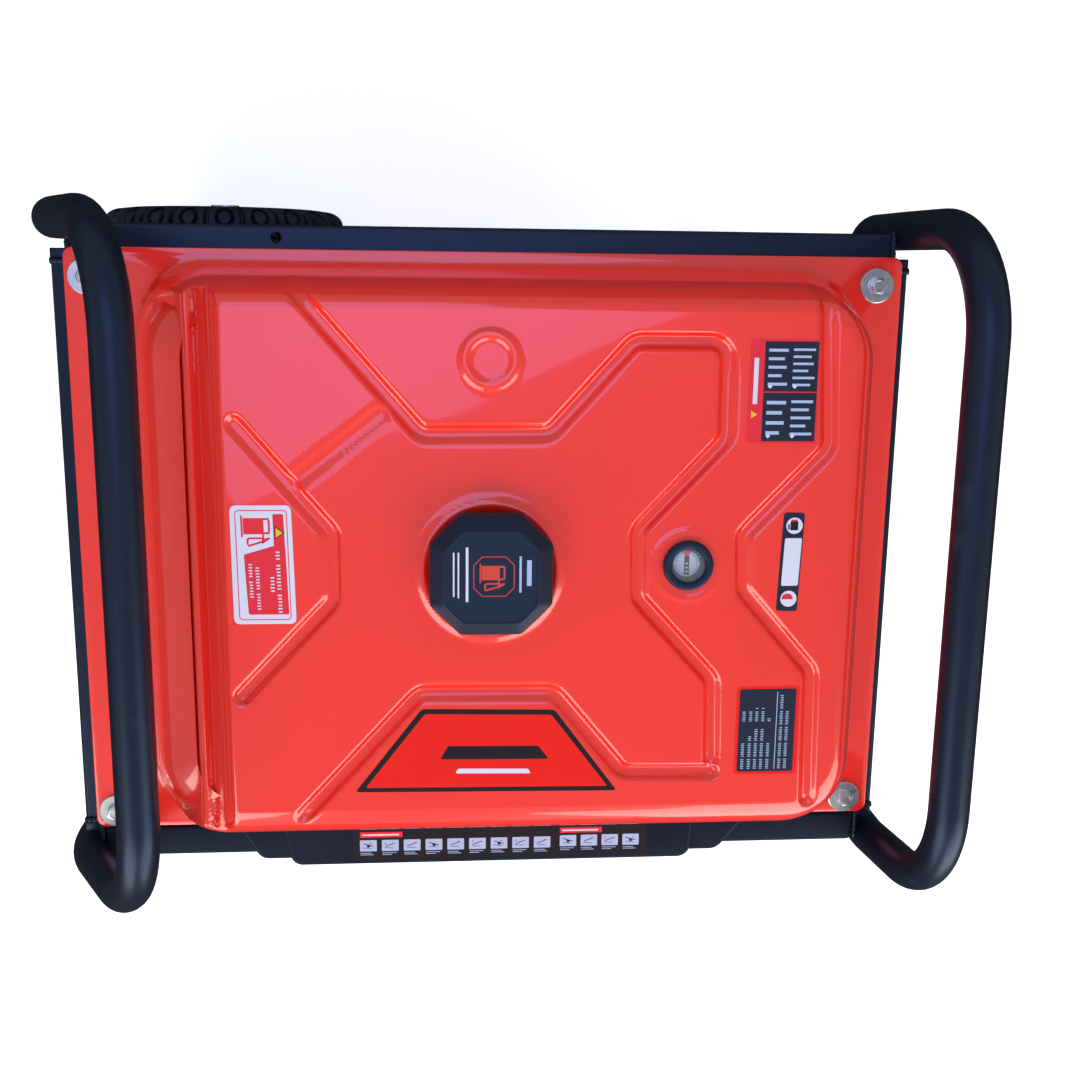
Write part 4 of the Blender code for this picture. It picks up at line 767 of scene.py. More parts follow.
def build_tank_skin():
    """The pressed upper half of the tank: flange, outer and inner walls and embossed top, open underneath."""
    left, right = shell_low.x, shell_high.x
    front, back = shell_low.y, shell_high.y
    flat = 8 * MM
    rings = []

    def add_ring(insets, corner, height, skin=True):
        edge = (left + insets[0], right - insets[1], front + insets[2], back - insets[3])
        points = np.array(rounded_ring(*edge, corner))
        rings.append((points[:, 0], points[:, 1], height, skin))

    edge_round = 0.7 * MM
    add_ring([edge_round] * 4, flat, flange_top - SHEET, False)
    add_ring([0] * 4, flat, flange_top - SHEET + edge_round * 0.5, False)
    add_ring([0] * 4, flat, flange_top - edge_round, False)
    add_ring([edge_round * 0.3] * 4, flat, flange_top - edge_round * 0.3, False)
    add_ring([edge_round] * 4, flat, flange_top, False)
    add_ring([5 * MM] * 4, flat, flange_top, False)
    for i in range(WALL_RINGS + 1):
        row = wall_row(i / WALL_RINGS)
        rise = min(row[0], 1.0)
        height = flange_top + rise * (tank_top - flange_top)
        add_ring(row[1:5] * MM, row[5] * MM, height)
    last = wall_row(1.0) * MM
    lid = (left + last[1], right - last[2], front + last[3], back - last[4])
    reach = (lid[3] - lid[2]) / 2
    fine_reach = FINE_RINGS * MM
    shares = [i * MM / reach for i in range(1, FINE_RINGS + 1)]
    shares += list(np.linspace(fine_reach / reach, 1, COARSE_RINGS + 1)[1:])
    for share in shares:
        edge = (
            lid[0] + reach * share, lid[1] - reach * share, lid[2] + reach * share, lid[3] - reach * share
        )
        points = np.array(rounded_ring(*edge, last[5] * (1 - share)))
        rings.append((points[:, 0], points[:, 1], tank_top, True))

    rows = []
    for x, y, height, skin in rings:
        level = np.full(x.shape, height)
        if skin:
            level = pressing_relief(x, y, level)
        rows.append(np.stack([x, y, level], axis=1))
    inner = []
    hollow = tank_top - CEILING_DROP - flange_top + SHEET
    for share in (1.0, 0.8, 0.6, 0.4, 0.2, 0.0):
        row = wall_row(share)
        depths = row[1:5] * MM + INNER_WALL
        edge = (left + depths[0], right - depths[1], front + depths[2], back - depths[3])
        points = np.array(rounded_ring(*edge, row[5] * MM))
        level = flange_top - SHEET + min(row[0], 1.0) * hollow
        inner.append(np.column_stack([points, np.full(len(points), level)]))
    rows = inner + rows
    vertices = np.concatenate(rows)
    count = len(rows[0])
    faces = []
    for r in range(len(rows) - 1):
        base = r * count
        faces += [
            (base + i, base + (i + 1) % count, base + count + (i + 1) % count, base + count + i)
            for i in range(count)
        ]
    mesh = bpy.data.meshes.new("tank_skin")
    mesh.from_pydata(vertices.tolist(), [], faces)
    shape = bmesh.new()
    shape.from_mesh(mesh)
    bpy.data.meshes.remove(mesh)
    bmesh.ops.remove_doubles(shape, verts=shape.verts, dist=0.00002)
    skin = to_object("tank_skin", shape)
    return settle(skin, enamel, stands_for=("tank_upper_shell",), crease=50)


def build_neck():
    """The filler neck that stands out of the pressing, under the cap."""
    middle = middle_of("fuel_cap")
    place = Matrix.Translation((middle.x, middle.y, tank_top))
    inner = NECK_RADIUS - 3.5 * MM
    profile = [
        (inner, -20 * MM),
        (NECK_RADIUS + 6 * MM, -3 * MM),
        (NECK_RADIUS + 1.5 * MM, 0),
        (NECK_RADIUS, 2 * MM),
    ]
    profile += arc((NECK_RADIUS - 1.2 * MM, NECK_RISE - 1.4 * MM), 1.2 * MM, 0, 90, 4)
    profile += [(inner, NECK_RISE - 0.2 * MM)]
    settle(lathe("filler_neck", profile, place, ring=True), enamel)


def build_bolts():
    """The four tank bolts: a wide washer, a spring washer and a hexagon head each."""
    for row in ("front", "back"):
        for side in ("left", "right"):
            node = f"tank_bolt_{row}_{side}"
            low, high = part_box(node)
            place = Vector(((low.x + high.x) / 2, (low.y + high.y) / 2, flange_top + 0.3 * MM))
            matrix = Matrix.Translation(place)
            shape = bmesh.new()
            wide = 14 * MM
            washer = [
                (4.2 * MM, 0),
                (wide - 0.4 * MM, 0),
                (wide, 0.4 * MM),
                (wide, 1.6 * MM),
                (wide - 0.5 * MM, 2 * MM),
            ]
            add_lathe(shape, washer + [(4.2 * MM, 2 * MM)], matrix, 48, ring=True)
            add_lathe(
                shape,
                [(0, -SHEET * 9), (4 * MM, -SHEET * 9), (4 * MM, 0.5 * MM), (0, 0.5 * MM)],
                matrix,
                24,
            )
            turn = Matrix.Rotation(
                math.radians({"front": 17, "back": -8}[row] + (9 if side == "left" else 0)), 4, "Z"
            )
            spring = matrix @ Matrix.Translation((0, 0, 2 * MM)) @ turn
            add_lathe(shape, [(0, 0), (7.6 * MM, 0), (7.6 * MM, 1.6 * MM), (0, 1.6 * MM)], spring, 40)
            head = spring @ Matrix.Translation((0, 0, 1.6 * MM))
            add_plate(shape, regular(6, 7.3 * MM), head, 3.4 * MM, 0.35 * MM)
            crown = [
                (0, 3.4 * MM), (6.0 * MM, 3.4 * MM), (5.4 * MM, 4.1 * MM), (4.3 * MM, 4.2 * MM),
                (3.9 * MM, 3.6 * MM), (0, 3.6 * MM),
            ]
            add_lathe(shape, crown, head, 36)
            settle(to_object(node + "_detail", shape), zinc, stands_for=(node,), crease=30)


# ---------------------------------------------------------------- labels


FILM_STEP = 0.07 * MM
FILM_THICKNESS = 0.16 * MM
LABEL_BACK = 59  # the fuel label's back edge, from which it leans
LABEL_LEAN = 0.024


def layered(name, layers, height, body=CHASSIS, face=None):
    """A printed label: flat layers of film, each a little above the last. A layer is (finish, outlines)."""
    shape = bmesh.new()
    for level, (_, outlines) in enumerate(layers):
        matrix = (face or Matrix()) @ Matrix.Translation((0, 0, height + level * FILM_STEP))
        for outline in outlines:
            add_plate(shape, [(x * MM, y * MM) for x, y in outline], matrix, FILM_THICKNESS, material=level)
    return settle(to_object(name, shape), [finish for finish, _ in layers], body)


def bars(left, front, right, back, rows, fill=0.45, along_x=True, ragged=(1.0, 0.82, 0.93, 0.7)):
    """Plain bars that stand for lines of print."""
    found = []
    for i in range(rows):
        share = ragged[i % len(ragged)]
        if along_x:
            pitch = (back - front) / rows
            y = back - pitch * (i + 0.5)
            found.append(
                rectangle(left, y - pitch * fill / 2, left + (right - left) * share, y + pitch * fill / 2)
            )
        else:
            pitch = (right - left) / rows
            x = right - pitch * (i + 0.5)
            found.append(
                rectangle(x - pitch * fill / 2, back - (back - front) * share, x + pitch * fill / 2, back)
            )
    return found


def print_line(x, start, end, height=2.6, pitch=1.5):
    """Short strokes that stand for one line of small print along Y, with gaps between its words."""
    found = []
    for i in range(int((end - start) / pitch)):
        if i % 9 == 6:
            continue
        y = start + i * pitch
        top = height if i % 4 == 1 else height * 0.74
        found.append(rectangle(x - top / 2, y, x + height / 2, y + pitch * 0.42))
    return found


def disc(x, y, radius, sides=24):
    return [(x + px, y + py) for px, py in regular(sides, radius)]


def pump_outlines(x, y, scale):
    """A fuel pump seen from the side, its top towards +X: cabinet, base line, window frame and hose."""
    cabinet = [
        rectangle(-5.6, -3.2, 3.2, 3.9),
        rectangle(3.2, 3.0, 5.6, 3.9),
        rectangle(3.2, -3.2, 5.6, -2.3),
        rectangle(5.0, -2.3, 5.9, 3.0),
        rectangle(-6.6, -4.5, -5.8, 5.0),
    ]
    hose = [
        [(3.2, -3.2), (2.4, -3.2), (2.4, -4.6), (3.2, -4.6)],
        [(3.2, -4.6), (3.2, -5.4), (-3.4, -5.4), (-3.4, -4.6)],
        [(-3.4, -4.6), (-4.4, -5.4), (-4.4, -7.6), (-3.6, -7.6), (-3.4, -5.8)],
        [(-4.4, -7.6), (-3.6, -8.8), (2.4, -6.9), (2.4, -6.1), (-3.4, -7.8)],
        [(2.2, -7.6), (5.9, -5.2), (5.2, -4.6), (2.2, -5.4)],
    ]
    return [[(x + px * scale, y + py * scale) for px, py in outline] for outline in cabinet + hose]


def frame_strips(outline, width):
    """A closed band of even width inside an outline, as four-cornered strips."""
    count = len(outline)
    inner = []
    for i in range(count):
        before = (Vector(outline[i]) - Vector(outline[i - 1])).normalized()
        after = (Vector(outline[(i + 1) % count]) - Vector(outline[i])).normalized()
        normal = Vector((-before.y - after.y, before.x + after.x))
        inner.append(Vector(outline[i]) + normal.normalized() * width / max(normal.length / 2, 0.3))
    strips = []
    for i in range(count):
        j = (i + 1) % count
        strips.append([outline[i], outline[j], tuple(inner[j]), tuple(inner[i])])
    return strips


def leaning(outlines):
    """Outlines that lean to the right towards the front, as the fuel label does."""
    return [[(x + (LABEL_BACK - y) * LABEL_LEAN, y) for x, y in outline] for outline in outlines]


def build_tank_labels():
    base = tank_top + 0.05 * MM
    outer = rounded_outline([(-201, -33.5), (-153.8, -33.5), (-153.8, 59), (-199.5, 59)], 5)
    inner = rounded_outline([(-197, -30.4), (-157.4, -30.4), (-157, 55.4), (-196, 55.4)], 3.5)
    column = rounded_outline([(-167.9, 24), (-159.6, 24), (-159.8, 52.2), (-167.8, 52.2)], 1.2)
    field = rounded_outline([(-189.6, -26), (-159, -26), (-159.4, 27.6), (-168.4, 27.6), (-190.8, 21)], 1.5)
    strokes = print_line(-165.6, -24.5, 26, 3.2, 2.6) + print_line(-170.6, -8, 5.5, 3.2, 2.6)
    strokes += print_line(-181.4, -22, 17, 2.9, 2.3) + print_line(-186.6, -12.5, 17, 2.9, 2.3)
    fuel = [
        (film_white, leaning([outer])),
        (film_red, leaning(frame_strips(inner, 0.7) + [field] + pump_outlines(-180.4, 42.4, 1.75))),
        (film_red, leaning([column])),
        (film_white, leaning(strokes)),
        (film_black, leaning([[(-166.8, 32.8), (-166.8, 43), (-159.4, 37.9)]])),
        (film_yellow, leaning([[(-166.1, 34), (-166.1, 41.8), (-160.6, 37.9)]])),
    ]
    layered("fuel_label", fuel, base)
    warning = [
        (film_red, [rounded_outline([(192, 107), (247, 107), (246.5, 185.5), (193, 186)], 3)]),
        (film_navy, [rectangle(204, 108.5, 245.5, 145.6), rectangle(204, 146.6, 245.5, 184.4)]),
        (film_blue, bars(226, 111, 243, 142, 5, 0.34) + bars(207, 111, 222, 142, 4, 0.34)
         + bars(226, 149, 243, 181, 6, 0.34) + bars(207, 149, 222, 181, 5, 0.34)),
        (film_white, bars(196, 137, 199.5, 172, 1, 1, False)
         + [disc(x, y, 1.8, 4) for x, y in ((209, 112.5), (209, 150.5), (228, 150.5), (228, 112.5))]),
        (film_yellow, [[(195.2, 126), (195.2, 132), (200, 129)]]),
    ]
    layered("notice_label", warning, base)
    turns = np.linspace(math.pi / 2, math.pi * 1.5, 12)
    half_disc = [(231 + 4.6 * math.sin(turn), -16.9 - 4.6 * math.cos(turn)) for turn in turns]
    level = [
        (film_navy, [rounded_outline([(222.6, -26.2), (239.4, -26.7), (241.8, 52.3), (225.2, 52.8)], 2.5)]),
        (film_white, [
            rounded_outline([(225.6, -6), (239, -6), (240.4, 32.3), (227, 32.3)], 1.5),
            disc(232.2, -16.5, 6.5, 36), disc(233.9, 42.2, 6.5, 36),
        ]),
        (film_black, [rectangle(230.6, 38.6, 236.8, 45.6), rectangle(228.8, 39.4, 230, 43.4)]),
        (film_red, [half_disc, rectangle(231.2, 45.6, 236, 47)]),
    ]
    layered("level_label", level, base)
    print_rows = []
    for x, heading, value in (
        (201, -135, -109), (206.4, -129, -109), (211.4, -124, -106), (216.4, -124, -106),
        (221.6, -135, -114),
    ):
        print_rows += print_line(x, -158.5, heading) + print_line(x, -118, value)
    print_rows += print_line(231.4, -158.5, -94) + print_line(236.2, -158.5, -107)
    spec = [
        (film_deep_red, [rounded_outline([(194.5, -163), (246, -163.5), (245.5, -88.5), (194.5, -89)], 3)]),
        (film_navy, [rounded_outline([(197, -161), (243, -161), (243, -91), (197, -91)], 2)]),
        (film_blue, [rectangle(227.4, -159, 228, -93.5)] + print_rows),
    ]
    layered("rating_plate", spec, base)
    edge = rounded_outline([(-109, -172.5), (99.5, -175), (48.5, -106), (-56.5, -104)], 3)
    inside = rounded_outline([(-101, -169), (92, -171), (46, -110), (-54, -108)], 2)
    badge = [
        (film_black, [edge]),
        (film_deep_red, [inside]),
        (film_black, [rounded_outline([(-42, -146), (44, -147), (36, -136), (-36, -135)], 2)]),
        (film_white, [rounded_outline([(-30, -158), (30, -159), (28, -155), (-28, -154)], 1.5)]),
    ]
    layered("badge", badge, base)


# ---------------------------------------------------------------- cap and gauge


def octagon(width, chamfer):
    half = width / 2
    short = half - chamfer
    corners = [(half, -short), (half, short), (short, half), (-short, half)]
    return corners + [(-x, -y) for x, y in corners]


def build_cap():
    """The eight-sided filler cap with its bevelled rim, and a pump drawn on its flat top."""
    low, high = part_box("fuel_cap")
    middle = (low + high) / 2
    height = high.z - low.z
    rows = (
        (89, 21.5, 0.0),
        (93.2, 23.2, 0.03),
        (94, 23.5, 0.08),
        (94, 23.5, 0.50),
        (92.6, 23.0, 0.60),
        (74.5, 15.6, 0.955),
        (72, 14.5, 0.99),
        (71, 14.2, 1.0),
        (68.6, 13.2, 1.0),
        (68.0, 13.0, 0.985),
    )
    shape = bmesh.new()
    rings = []
    for width, chamfer, share in rows:
        outline = rounded_outline(octagon(width * MM, chamfer * MM), 3.2 * MM, 4)
        rings.append(
            [shape.verts.new((middle.x + x, middle.y + y, low.z + height * share)) for x, y in outline]
        )
    for ring, after in zip(rings, rings[1:]):
        for i in range(len(ring)):
            j = (i + 1) % len(ring)
            shape.faces.new((ring[i], ring[j], after[j], after[i]))
    shape.faces.new(rings[0])
    shape.faces.new(rings[-1])
    cap = to_object("cap_moulding", shape)
    settle(cap, cap_plastic, "cap", stands_for=("fuel_cap",), crease=24)
    x = middle.x / MM
    y = middle.y / MM
    centre = (x + 1.5, y + 1.5)
    border = [(centre[0] + px, centre[1] + py) for px, py in octagon(31, 6.6)]
    drawn = [
        (film_orange, frame_strips(border, 0.7) + pump_outlines(centre[0] - 0.6, centre[1] + 2.2, 1.55)),
        (film_blue, bars(x + 24.5, y - 9, x + 31.5, y + 14, 1, 0.5, False, (0.86,))
         + bars(x + 20.2, y - 11, x + 22.6, y + 17, 1, 0.7, False)),
        (film_white, bars(x - 20, y - 18, x - 17.4, y + 24, 1, 0.75, False)
         + bars(x - 26, y - 15, x - 24.4, y + 20, 1, 0.75, False)
         + bars(x - 29.5, y - 14, x - 27.9, y + 20, 1, 0.75, False)),
    ]
    layered("cap_drawing", drawn, high.z - height * 0.015 - 0.1 * MM, body="cap")


def build_gauge():
    """The fuel gauge: a rounded ring, a white dial with marks, and a clear domed lens."""
    low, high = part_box("gauge_body")
    place = Matrix.Translation(((low.x + high.x) / 2, (low.y + high.y) / 2, tank_top))
    outer = 19.7 * MM
    well = 13.5 * MM
    top = high.z - tank_top
    profile = [(0, -6 * MM), (well, -6 * MM), (well, top - 1.6 * MM)]
    profile += [(well + 0.6 * MM, top - 0.6 * MM), (well + 1.5 * MM, top), (outer - 2.6 * MM, top)]
    profile += arc((outer - 2.6 * MM, top - 2.6 * MM), 2.6 * MM, 80, 0, 5)
    profile += [(outer, 0.3 * MM), (16 * MM, 0.3 * MM), (16 * MM, -32 * MM), (0, -32 * MM)]
    body = lathe("gauge_ring", profile, place, 72)
    settle(body, cap_plastic, stands_for=("gauge_body",))
    x = place.translation.x / MM
    y = place.translation.y / MM
    marks = [rectangle(x + side * 9 - 1.3, y - 1, x + side * 9 + 1.3, y + 1) for side in (-1, 1)]
    for i in range(9):
        angle = math.radians(30 + 15 * i)
        cx = x + 11.6 * math.cos(angle)
        cy = y + 11.6 * math.sin(angle)
        marks.append(disc(cx, cy, 0.35, 8))
    dial = [
        (film_navy, [disc(x, y, 13.2, 48)]),
        (film_blue, [disc(x, y, 10.4, 48)]),
        (film_white, [disc(x, y, 8.0, 40)] + marks),
    ]
    layered("gauge_dial", dial, tank_top - 6 * MM)
    card_low, card_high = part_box("gauge_pointer")
    tip = card_high.y / MM
    card = [
        (film_black, [rectangle(x - 1.9, y - 9, x + 1.9, tip - 5)]),
        (
            film_red,
            [
                rectangle(x - 1.9, tip - 5, x + 1.9, tip - 2.4),
                rectangle(x - 3.4, tip - 2.4, x + 3.4, tip - 0.4),
            ],
        ),
        (film_white, [rectangle(x - 0.9, y - 7 + 3.2 * i, x + 0.9, y - 5.6 + 3.2 * i) for i in range(3)]),
    ]
    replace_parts(layered("gauge_card", card, card_low.z, body="pointer"), "gauge_pointer")
    dome = [(0, 1.4 * MM), (well - 0.3 * MM, 1.4 * MM), (well - 0.3 * MM, 2.6 * MM)]
    dome += [
        (well * math.cos(a), 2.6 * MM + 1.6 * MM * math.sin(a)) for a in np.linspace(0.35, math.pi / 2, 8)
    ]
    lens = lathe("gauge_dome", dome, place, 64)
    settle(lens, acrylic, stands_for=("gauge_lens",))


# ---------------------------------------------------------------- frame


def hoop_path(node, side):
    """A hoop's middle line: up from the back skid, over the tank and down to the front one."""
    _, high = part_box(node)
    skid_low, skid_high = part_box("back_skid")
    skid_y = (skid_low.y + skid_high.y) / 2
    skid_z = (skid_low.z + skid_high.z) / 2
    leg_x = side * (skid_high.x - TUBE)
    leg_y = high.y - TUBE
    half = [
        (leg_x, skid_y, skid_z),
        (leg_x, skid_y, LEG_STEP_HEIGHT),
        (leg_x, leg_y, LEG_STEP_HEIGHT + leg_y - skid_y),
        (leg_x, leg_y, flange_top - KNEE_DROP),
        (high.x - TUBE, leg_y, high.z - TUBE),
    ]
    corners = half + [(x, -y, z) for x, y, z in reversed(half)]
    x, y, z = corners[len(half)]
    corners[len(half)] = (x, y + FRONT_LEG_LEAN, z)
    bends = [LEG_STEP_BEND, LEG_STEP_BEND, KNEE_BEND, HOOP_CORNER]
    return bent_path(corners, bends + bends[::-1], 16)


def weld(name, path, closed=False):
    """A weld bead: a thin tube whose thickness ripples along its path."""
    points = []
    for start, end in zip(path, path[1:]):
        start = Vector(start)
        end = Vector(end)
        count = max(int((end - start).length / (1.1 * MM)), 1)
        points += [start.lerp(end, i / count) for i in range(count)]
    if not closed:
        points.append(Vector(path[-1]))
    bead = pipe(
        name, points, WELD_RADIUS, 10, closed, lambda i: 1 + 0.22 * math.sin(i * 1.9) * math.sin(i * 0.37)
    )
    return settle(bead, powder, crease=80)


def ring_path(centre, axis, radius):
    turn = Vector(axis).to_track_quat("Z", "Y")
    angles = [math.tau * i / WELD_STEPS for i in range(WELD_STEPS + 1)]
    return [Vector(centre) + turn @ Vector((radius * math.cos(a), radius * math.sin(a), 0)) for a in angles]


def angle_profile(width, depth):
    """A rail's section as (inwards, up) points: a flat leg and a hanging leg, rounded outside their bend."""
    t = RAIL_THICKNESS
    bend = arc((RAIL_ROUNDING, -RAIL_ROUNDING), RAIL_ROUNDING, 180, 90, 6)
    edge = 0.5 * MM
    return (
        [(t, -depth), (edge, -depth), (0, -depth + edge)] + bend
        + [(width - edge, 0), (width, -edge), (width, -t), (t + 1 * MM, -t), (t, -t - 1 * MM)]
    )


def build_rail(node, axis, side, hole=None):
    """A rail along an axis, whose hanging leg is on that side."""
    low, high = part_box(node)
    across = 1 - axis
    width = high[across] - low[across]
    section = angle_profile(width, high.z - low.z)
    shape = bmesh.new()
    rows = []
    for end in (low[axis], high[axis]):
        row = []
        for inwards, up in section:
            point = [0.0, 0.0, high.z + up]
            point[axis] = end
            point[across] = (high[across] - inwards) if side > 0 else (low[across] + inwards)
            row.append(shape.verts.new(point))
        rows.append(row)
    for i in range(len(section)):
        j = (i + 1) % len(section)
        shape.faces.new((rows[0][i], rows[0][j], rows[1][j], rows[1][i]))
    shape.faces.new(rows[0])
    shape.faces.new(rows[1])
    rail = to_object(node + "_section", shape)
    if hole:
        x, y, radius = hole
        matrix = Matrix.Translation((x, y, high.z - 20 * MM))
        carve(rail, lathe("hole", [(0, 0), (radius, 0), (radius, 40 * MM), (0, 40 * MM)], matrix, 32))
    return settle(rail, powder, stands_for=(node,), crease=30)


def build_frame():
    """Hoops, skids and rails with their welds, and the tips that close the frame's corners."""
    for node, side in (("left_hoop", -1), ("right_hoop", 1)):
        hoop = pipe(node + "_tube", hoop_path(node, side), TUBE, 40)
        settle(hoop, powder, stands_for=(node,), crease=60)
    _, back_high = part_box("back_rail")
    x, radius = RAIL_HOLE
    build_rail("back_rail", 0, 1, (x, back_high.y - 10 * MM, radius))
    build_rail("front_rail", 0, -1)
    build_rail("left_rail", 1, -1)
    build_rail("right_rail", 1, 1)
    for node in ("front_skid", "back_skid"):
        low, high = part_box(node)
        y = (low.y + high.y) / 2
        z = (low.z + high.z) / 2
        start, _ = along((low.x, y, z), (high.x, y, z))
        length = high.x - low.x
        end = 2.4 * MM
        profile = [(TUBE - 3 * MM, 2 * MM), (TUBE - 2 * MM, 0), (TUBE - 0.6 * MM, 0), (TUBE, end / 3)]
        profile += [
            (TUBE, length - end / 3),
            (TUBE - 0.6 * MM, length),
            (TUBE - 2 * MM, length),
            (TUBE - 3 * MM, length - 2 * MM),
        ]
        settle(
            lathe(node + "_tube", profile, start, 40), powder, stands_for=(node,), crease=30
        )
        for side in (-1, 1):
            leg = (side * (high.x - TUBE), y, z + TUBE)
            weld(
                f"{node}_weld_{'left' if side < 0 else 'right'}",
                ring_path(leg, (0, 0, 1), TUBE + 0.6 * MM),
                True,
            )
    for row, side in (("front", -1), ("back", 1)):
        low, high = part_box(row + "_rail")
        outer = high.y if side > 0 else low.y
        inner = low.y if side > 0 else high.y
        for end, x in (("left", low.x), ("right", high.x)):
            top = high.z
            path = [(x, outer, top - 20 * MM), (x, outer, top), (x, inner, top)]
            weld(f"{row}_{end}_rail_weld", path)
    tips = bmesh.new()
    for end, side in (("left", -1), ("right", 1)):
        low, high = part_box(end + "_rail")
        edge = high.x if side > 0 else low.x
        tip_low = min(edge, side * back_high.x + side * 0.3 * MM)
        tip_high = max(edge, side * back_high.x + side * 0.3 * MM)
        for row, y in (("front", low.y), ("back", high.y)):
            weld(f"{end}_{row}_corner_weld", [(low.x, y, high.z), (high.x, y, high.z)])
            far = y + RAIL_TIP * (1 if y > 0 else -1)
            rounded_box(tips, (tip_low, min(y, far), low.z), (tip_high, max(y, far), high.z), 1 * MM)
    settle(to_object("rail_tips", tips), powder)


def build_cushions():
    """Rubber pads between the end rails and the tank's flange, one at each bolt."""
    for row in ("front", "back"):
        for side in ("left", "right"):
            low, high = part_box(f"tank_bolt_{row}_{side}")
            x = (low.x + high.x) / 2
            y = (low.y + high.y) / 2
            _, rail_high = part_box(side + "_rail")
            base = rail_high.z + 0.2 * MM
            height = flange_top - SHEET * 2 - base - 0.8 * MM
            matrix = Matrix.Translation((x, y, base))
            profile = [(4.4 * MM, 0), (12 * MM, 0)] + arc((12 * MM, height / 2), height / 2, -90, 90, 6)
            profile += [(4.4 * MM, height)]
            settle(lathe(f"cushion_{row}_{side}", profile, matrix, 40, ring=True), rubber)


# ---------------------------------------------------------------- wheels and feet


def woven(name, rows, ring=False, caps=()):
    """A mesh from rows of points, each row closed on itself and joined to the next."""
    count = len(rows[0])
    pairs = list(zip(range(len(rows)), range(1, len(rows))))
    if ring:
        pairs.append((len(rows) - 1, 0))
    faces = [
        (a * count + i, a * count + (i + 1) % count, b * count + (i + 1) % count, b * count + i)
        for a, b in pairs
        for i in range(count)
    ]
    faces += [tuple(range(row * count, (row + 1) * count)) for row in caps]
    mesh = bpy.data.meshes.new(name)
    mesh.from_pydata(np.concatenate(rows).tolist(), [], faces)
    shape = bmesh.new()
    shape.from_mesh(mesh)
    bpy.data.meshes.remove(mesh)
    bmesh.ops.remove_doubles(shape, verts=shape.verts, dist=0.00002)
    return to_object(name, shape)


def tread_cut(turn, across):
    """How deep the tread is cut, from 0 to 1: two zigzag grooves, and slots that part the blocks."""
    pitch = turn * TREAD_BLOCKS
    length = math.tau * TYRE_RADIUS / TREAD_BLOCKS
    swing = np.abs((pitch % 1) - 0.5) * 2
    zigzag = np.abs(np.abs(across) - (9 + 6 * swing) * MM)
    centre_slot = np.abs(pitch - np.round(pitch)) * length + 100 * np.maximum(np.abs(across) - 11 * MM, 0)
    edge_slot = np.abs((pitch % 1) - 0.5) * length + 100 * np.maximum(11 * MM - np.abs(across), 0)
    pocket = np.hypot((pitch - np.round(pitch)) * length, np.abs(across) - 30 * MM)
    ring = np.abs(pocket - 7.5 * MM) + 0.8 * MM
    nearest = np.minimum(np.minimum(zigzag, ring), np.minimum(centre_slot, edge_slot))
    return 1 - smooth_step(1.4 * MM, 2.6 * MM, nearest)


def tyre_section():
    """Half of the tyre's section, from the crown to the bead: (radius, distance from the middle plane)."""
    points = [(TYRE_RADIUS - 2.4 * MM * (y / 26) ** 2, y * MM) for y in range(27)]
    for i in range(1, 22):
        angle = math.radians(90 * i / 21)
        points.append(((101.6 + 16 * math.cos(angle)) * MM, (26 + 13.6 * math.sin(angle)) * MM))
    flank = [
        (98, 40.2), (95, 40.6), (92, 40.4), (91, 41), (89, 40.8), (88, 39.9), (84, 38.4), (80, 36.4),
        (76, 33.8),
    ]
    bead = [(73, 31.8), (70.5, 30.6), (68.5, 30.2), (66.5, 29.6), (65.2, 28.2), (64.4, 26.5)]
    return points + [(radius * MM, y * MM) for radius, y in flank + bead]


def wheel_place(row):
    """The place of a wheel: the Z axis is its axle, and points outwards."""
    side = -1 if row == "front" else 1
    low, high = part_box(row + "_tyre")
    centre = (low + high) / 2
    return along(centre, centre + Vector((0, side, 0)))[0]


def build_tyre(row):
    """A tyre with its tread, and short bars moulded on its flanks."""
    half = tyre_section()
    section = np.array(half[::-1] + [(radius, -y) for radius, y in half[1:]])
    turn = np.arange(TYRE_STEPS) / TYRE_STEPS
    place = wheel_place(row)
    spin = np.array(place.to_3x3())
    centre = np.array(place.translation)
    rows = []
    for radius, across in section:
        depth = TREAD_DEPTH * smooth_step(103 * MM, 109 * MM, radius)
        size = radius - depth * tread_cut(turn, np.full(TYRE_STEPS, across))
        bars = (np.abs((turn * 66) % 1 - 0.5) < 0.2) * 0.5 * MM * float(80 * MM < radius < 89 * MM)
        points = np.column_stack([
            size * np.cos(math.tau * turn),
            size * np.sin(math.tau * turn),
            np.sign(across) * (abs(across) + bars),
        ])
        rows.append(points @ spin.T + centre)
    tyre = woven(row + "_tyre_tread", rows, ring=True)
    settle(tyre, tyre_black, row + "_wheel", stands_for=(row + "_tyre",), crease=40)


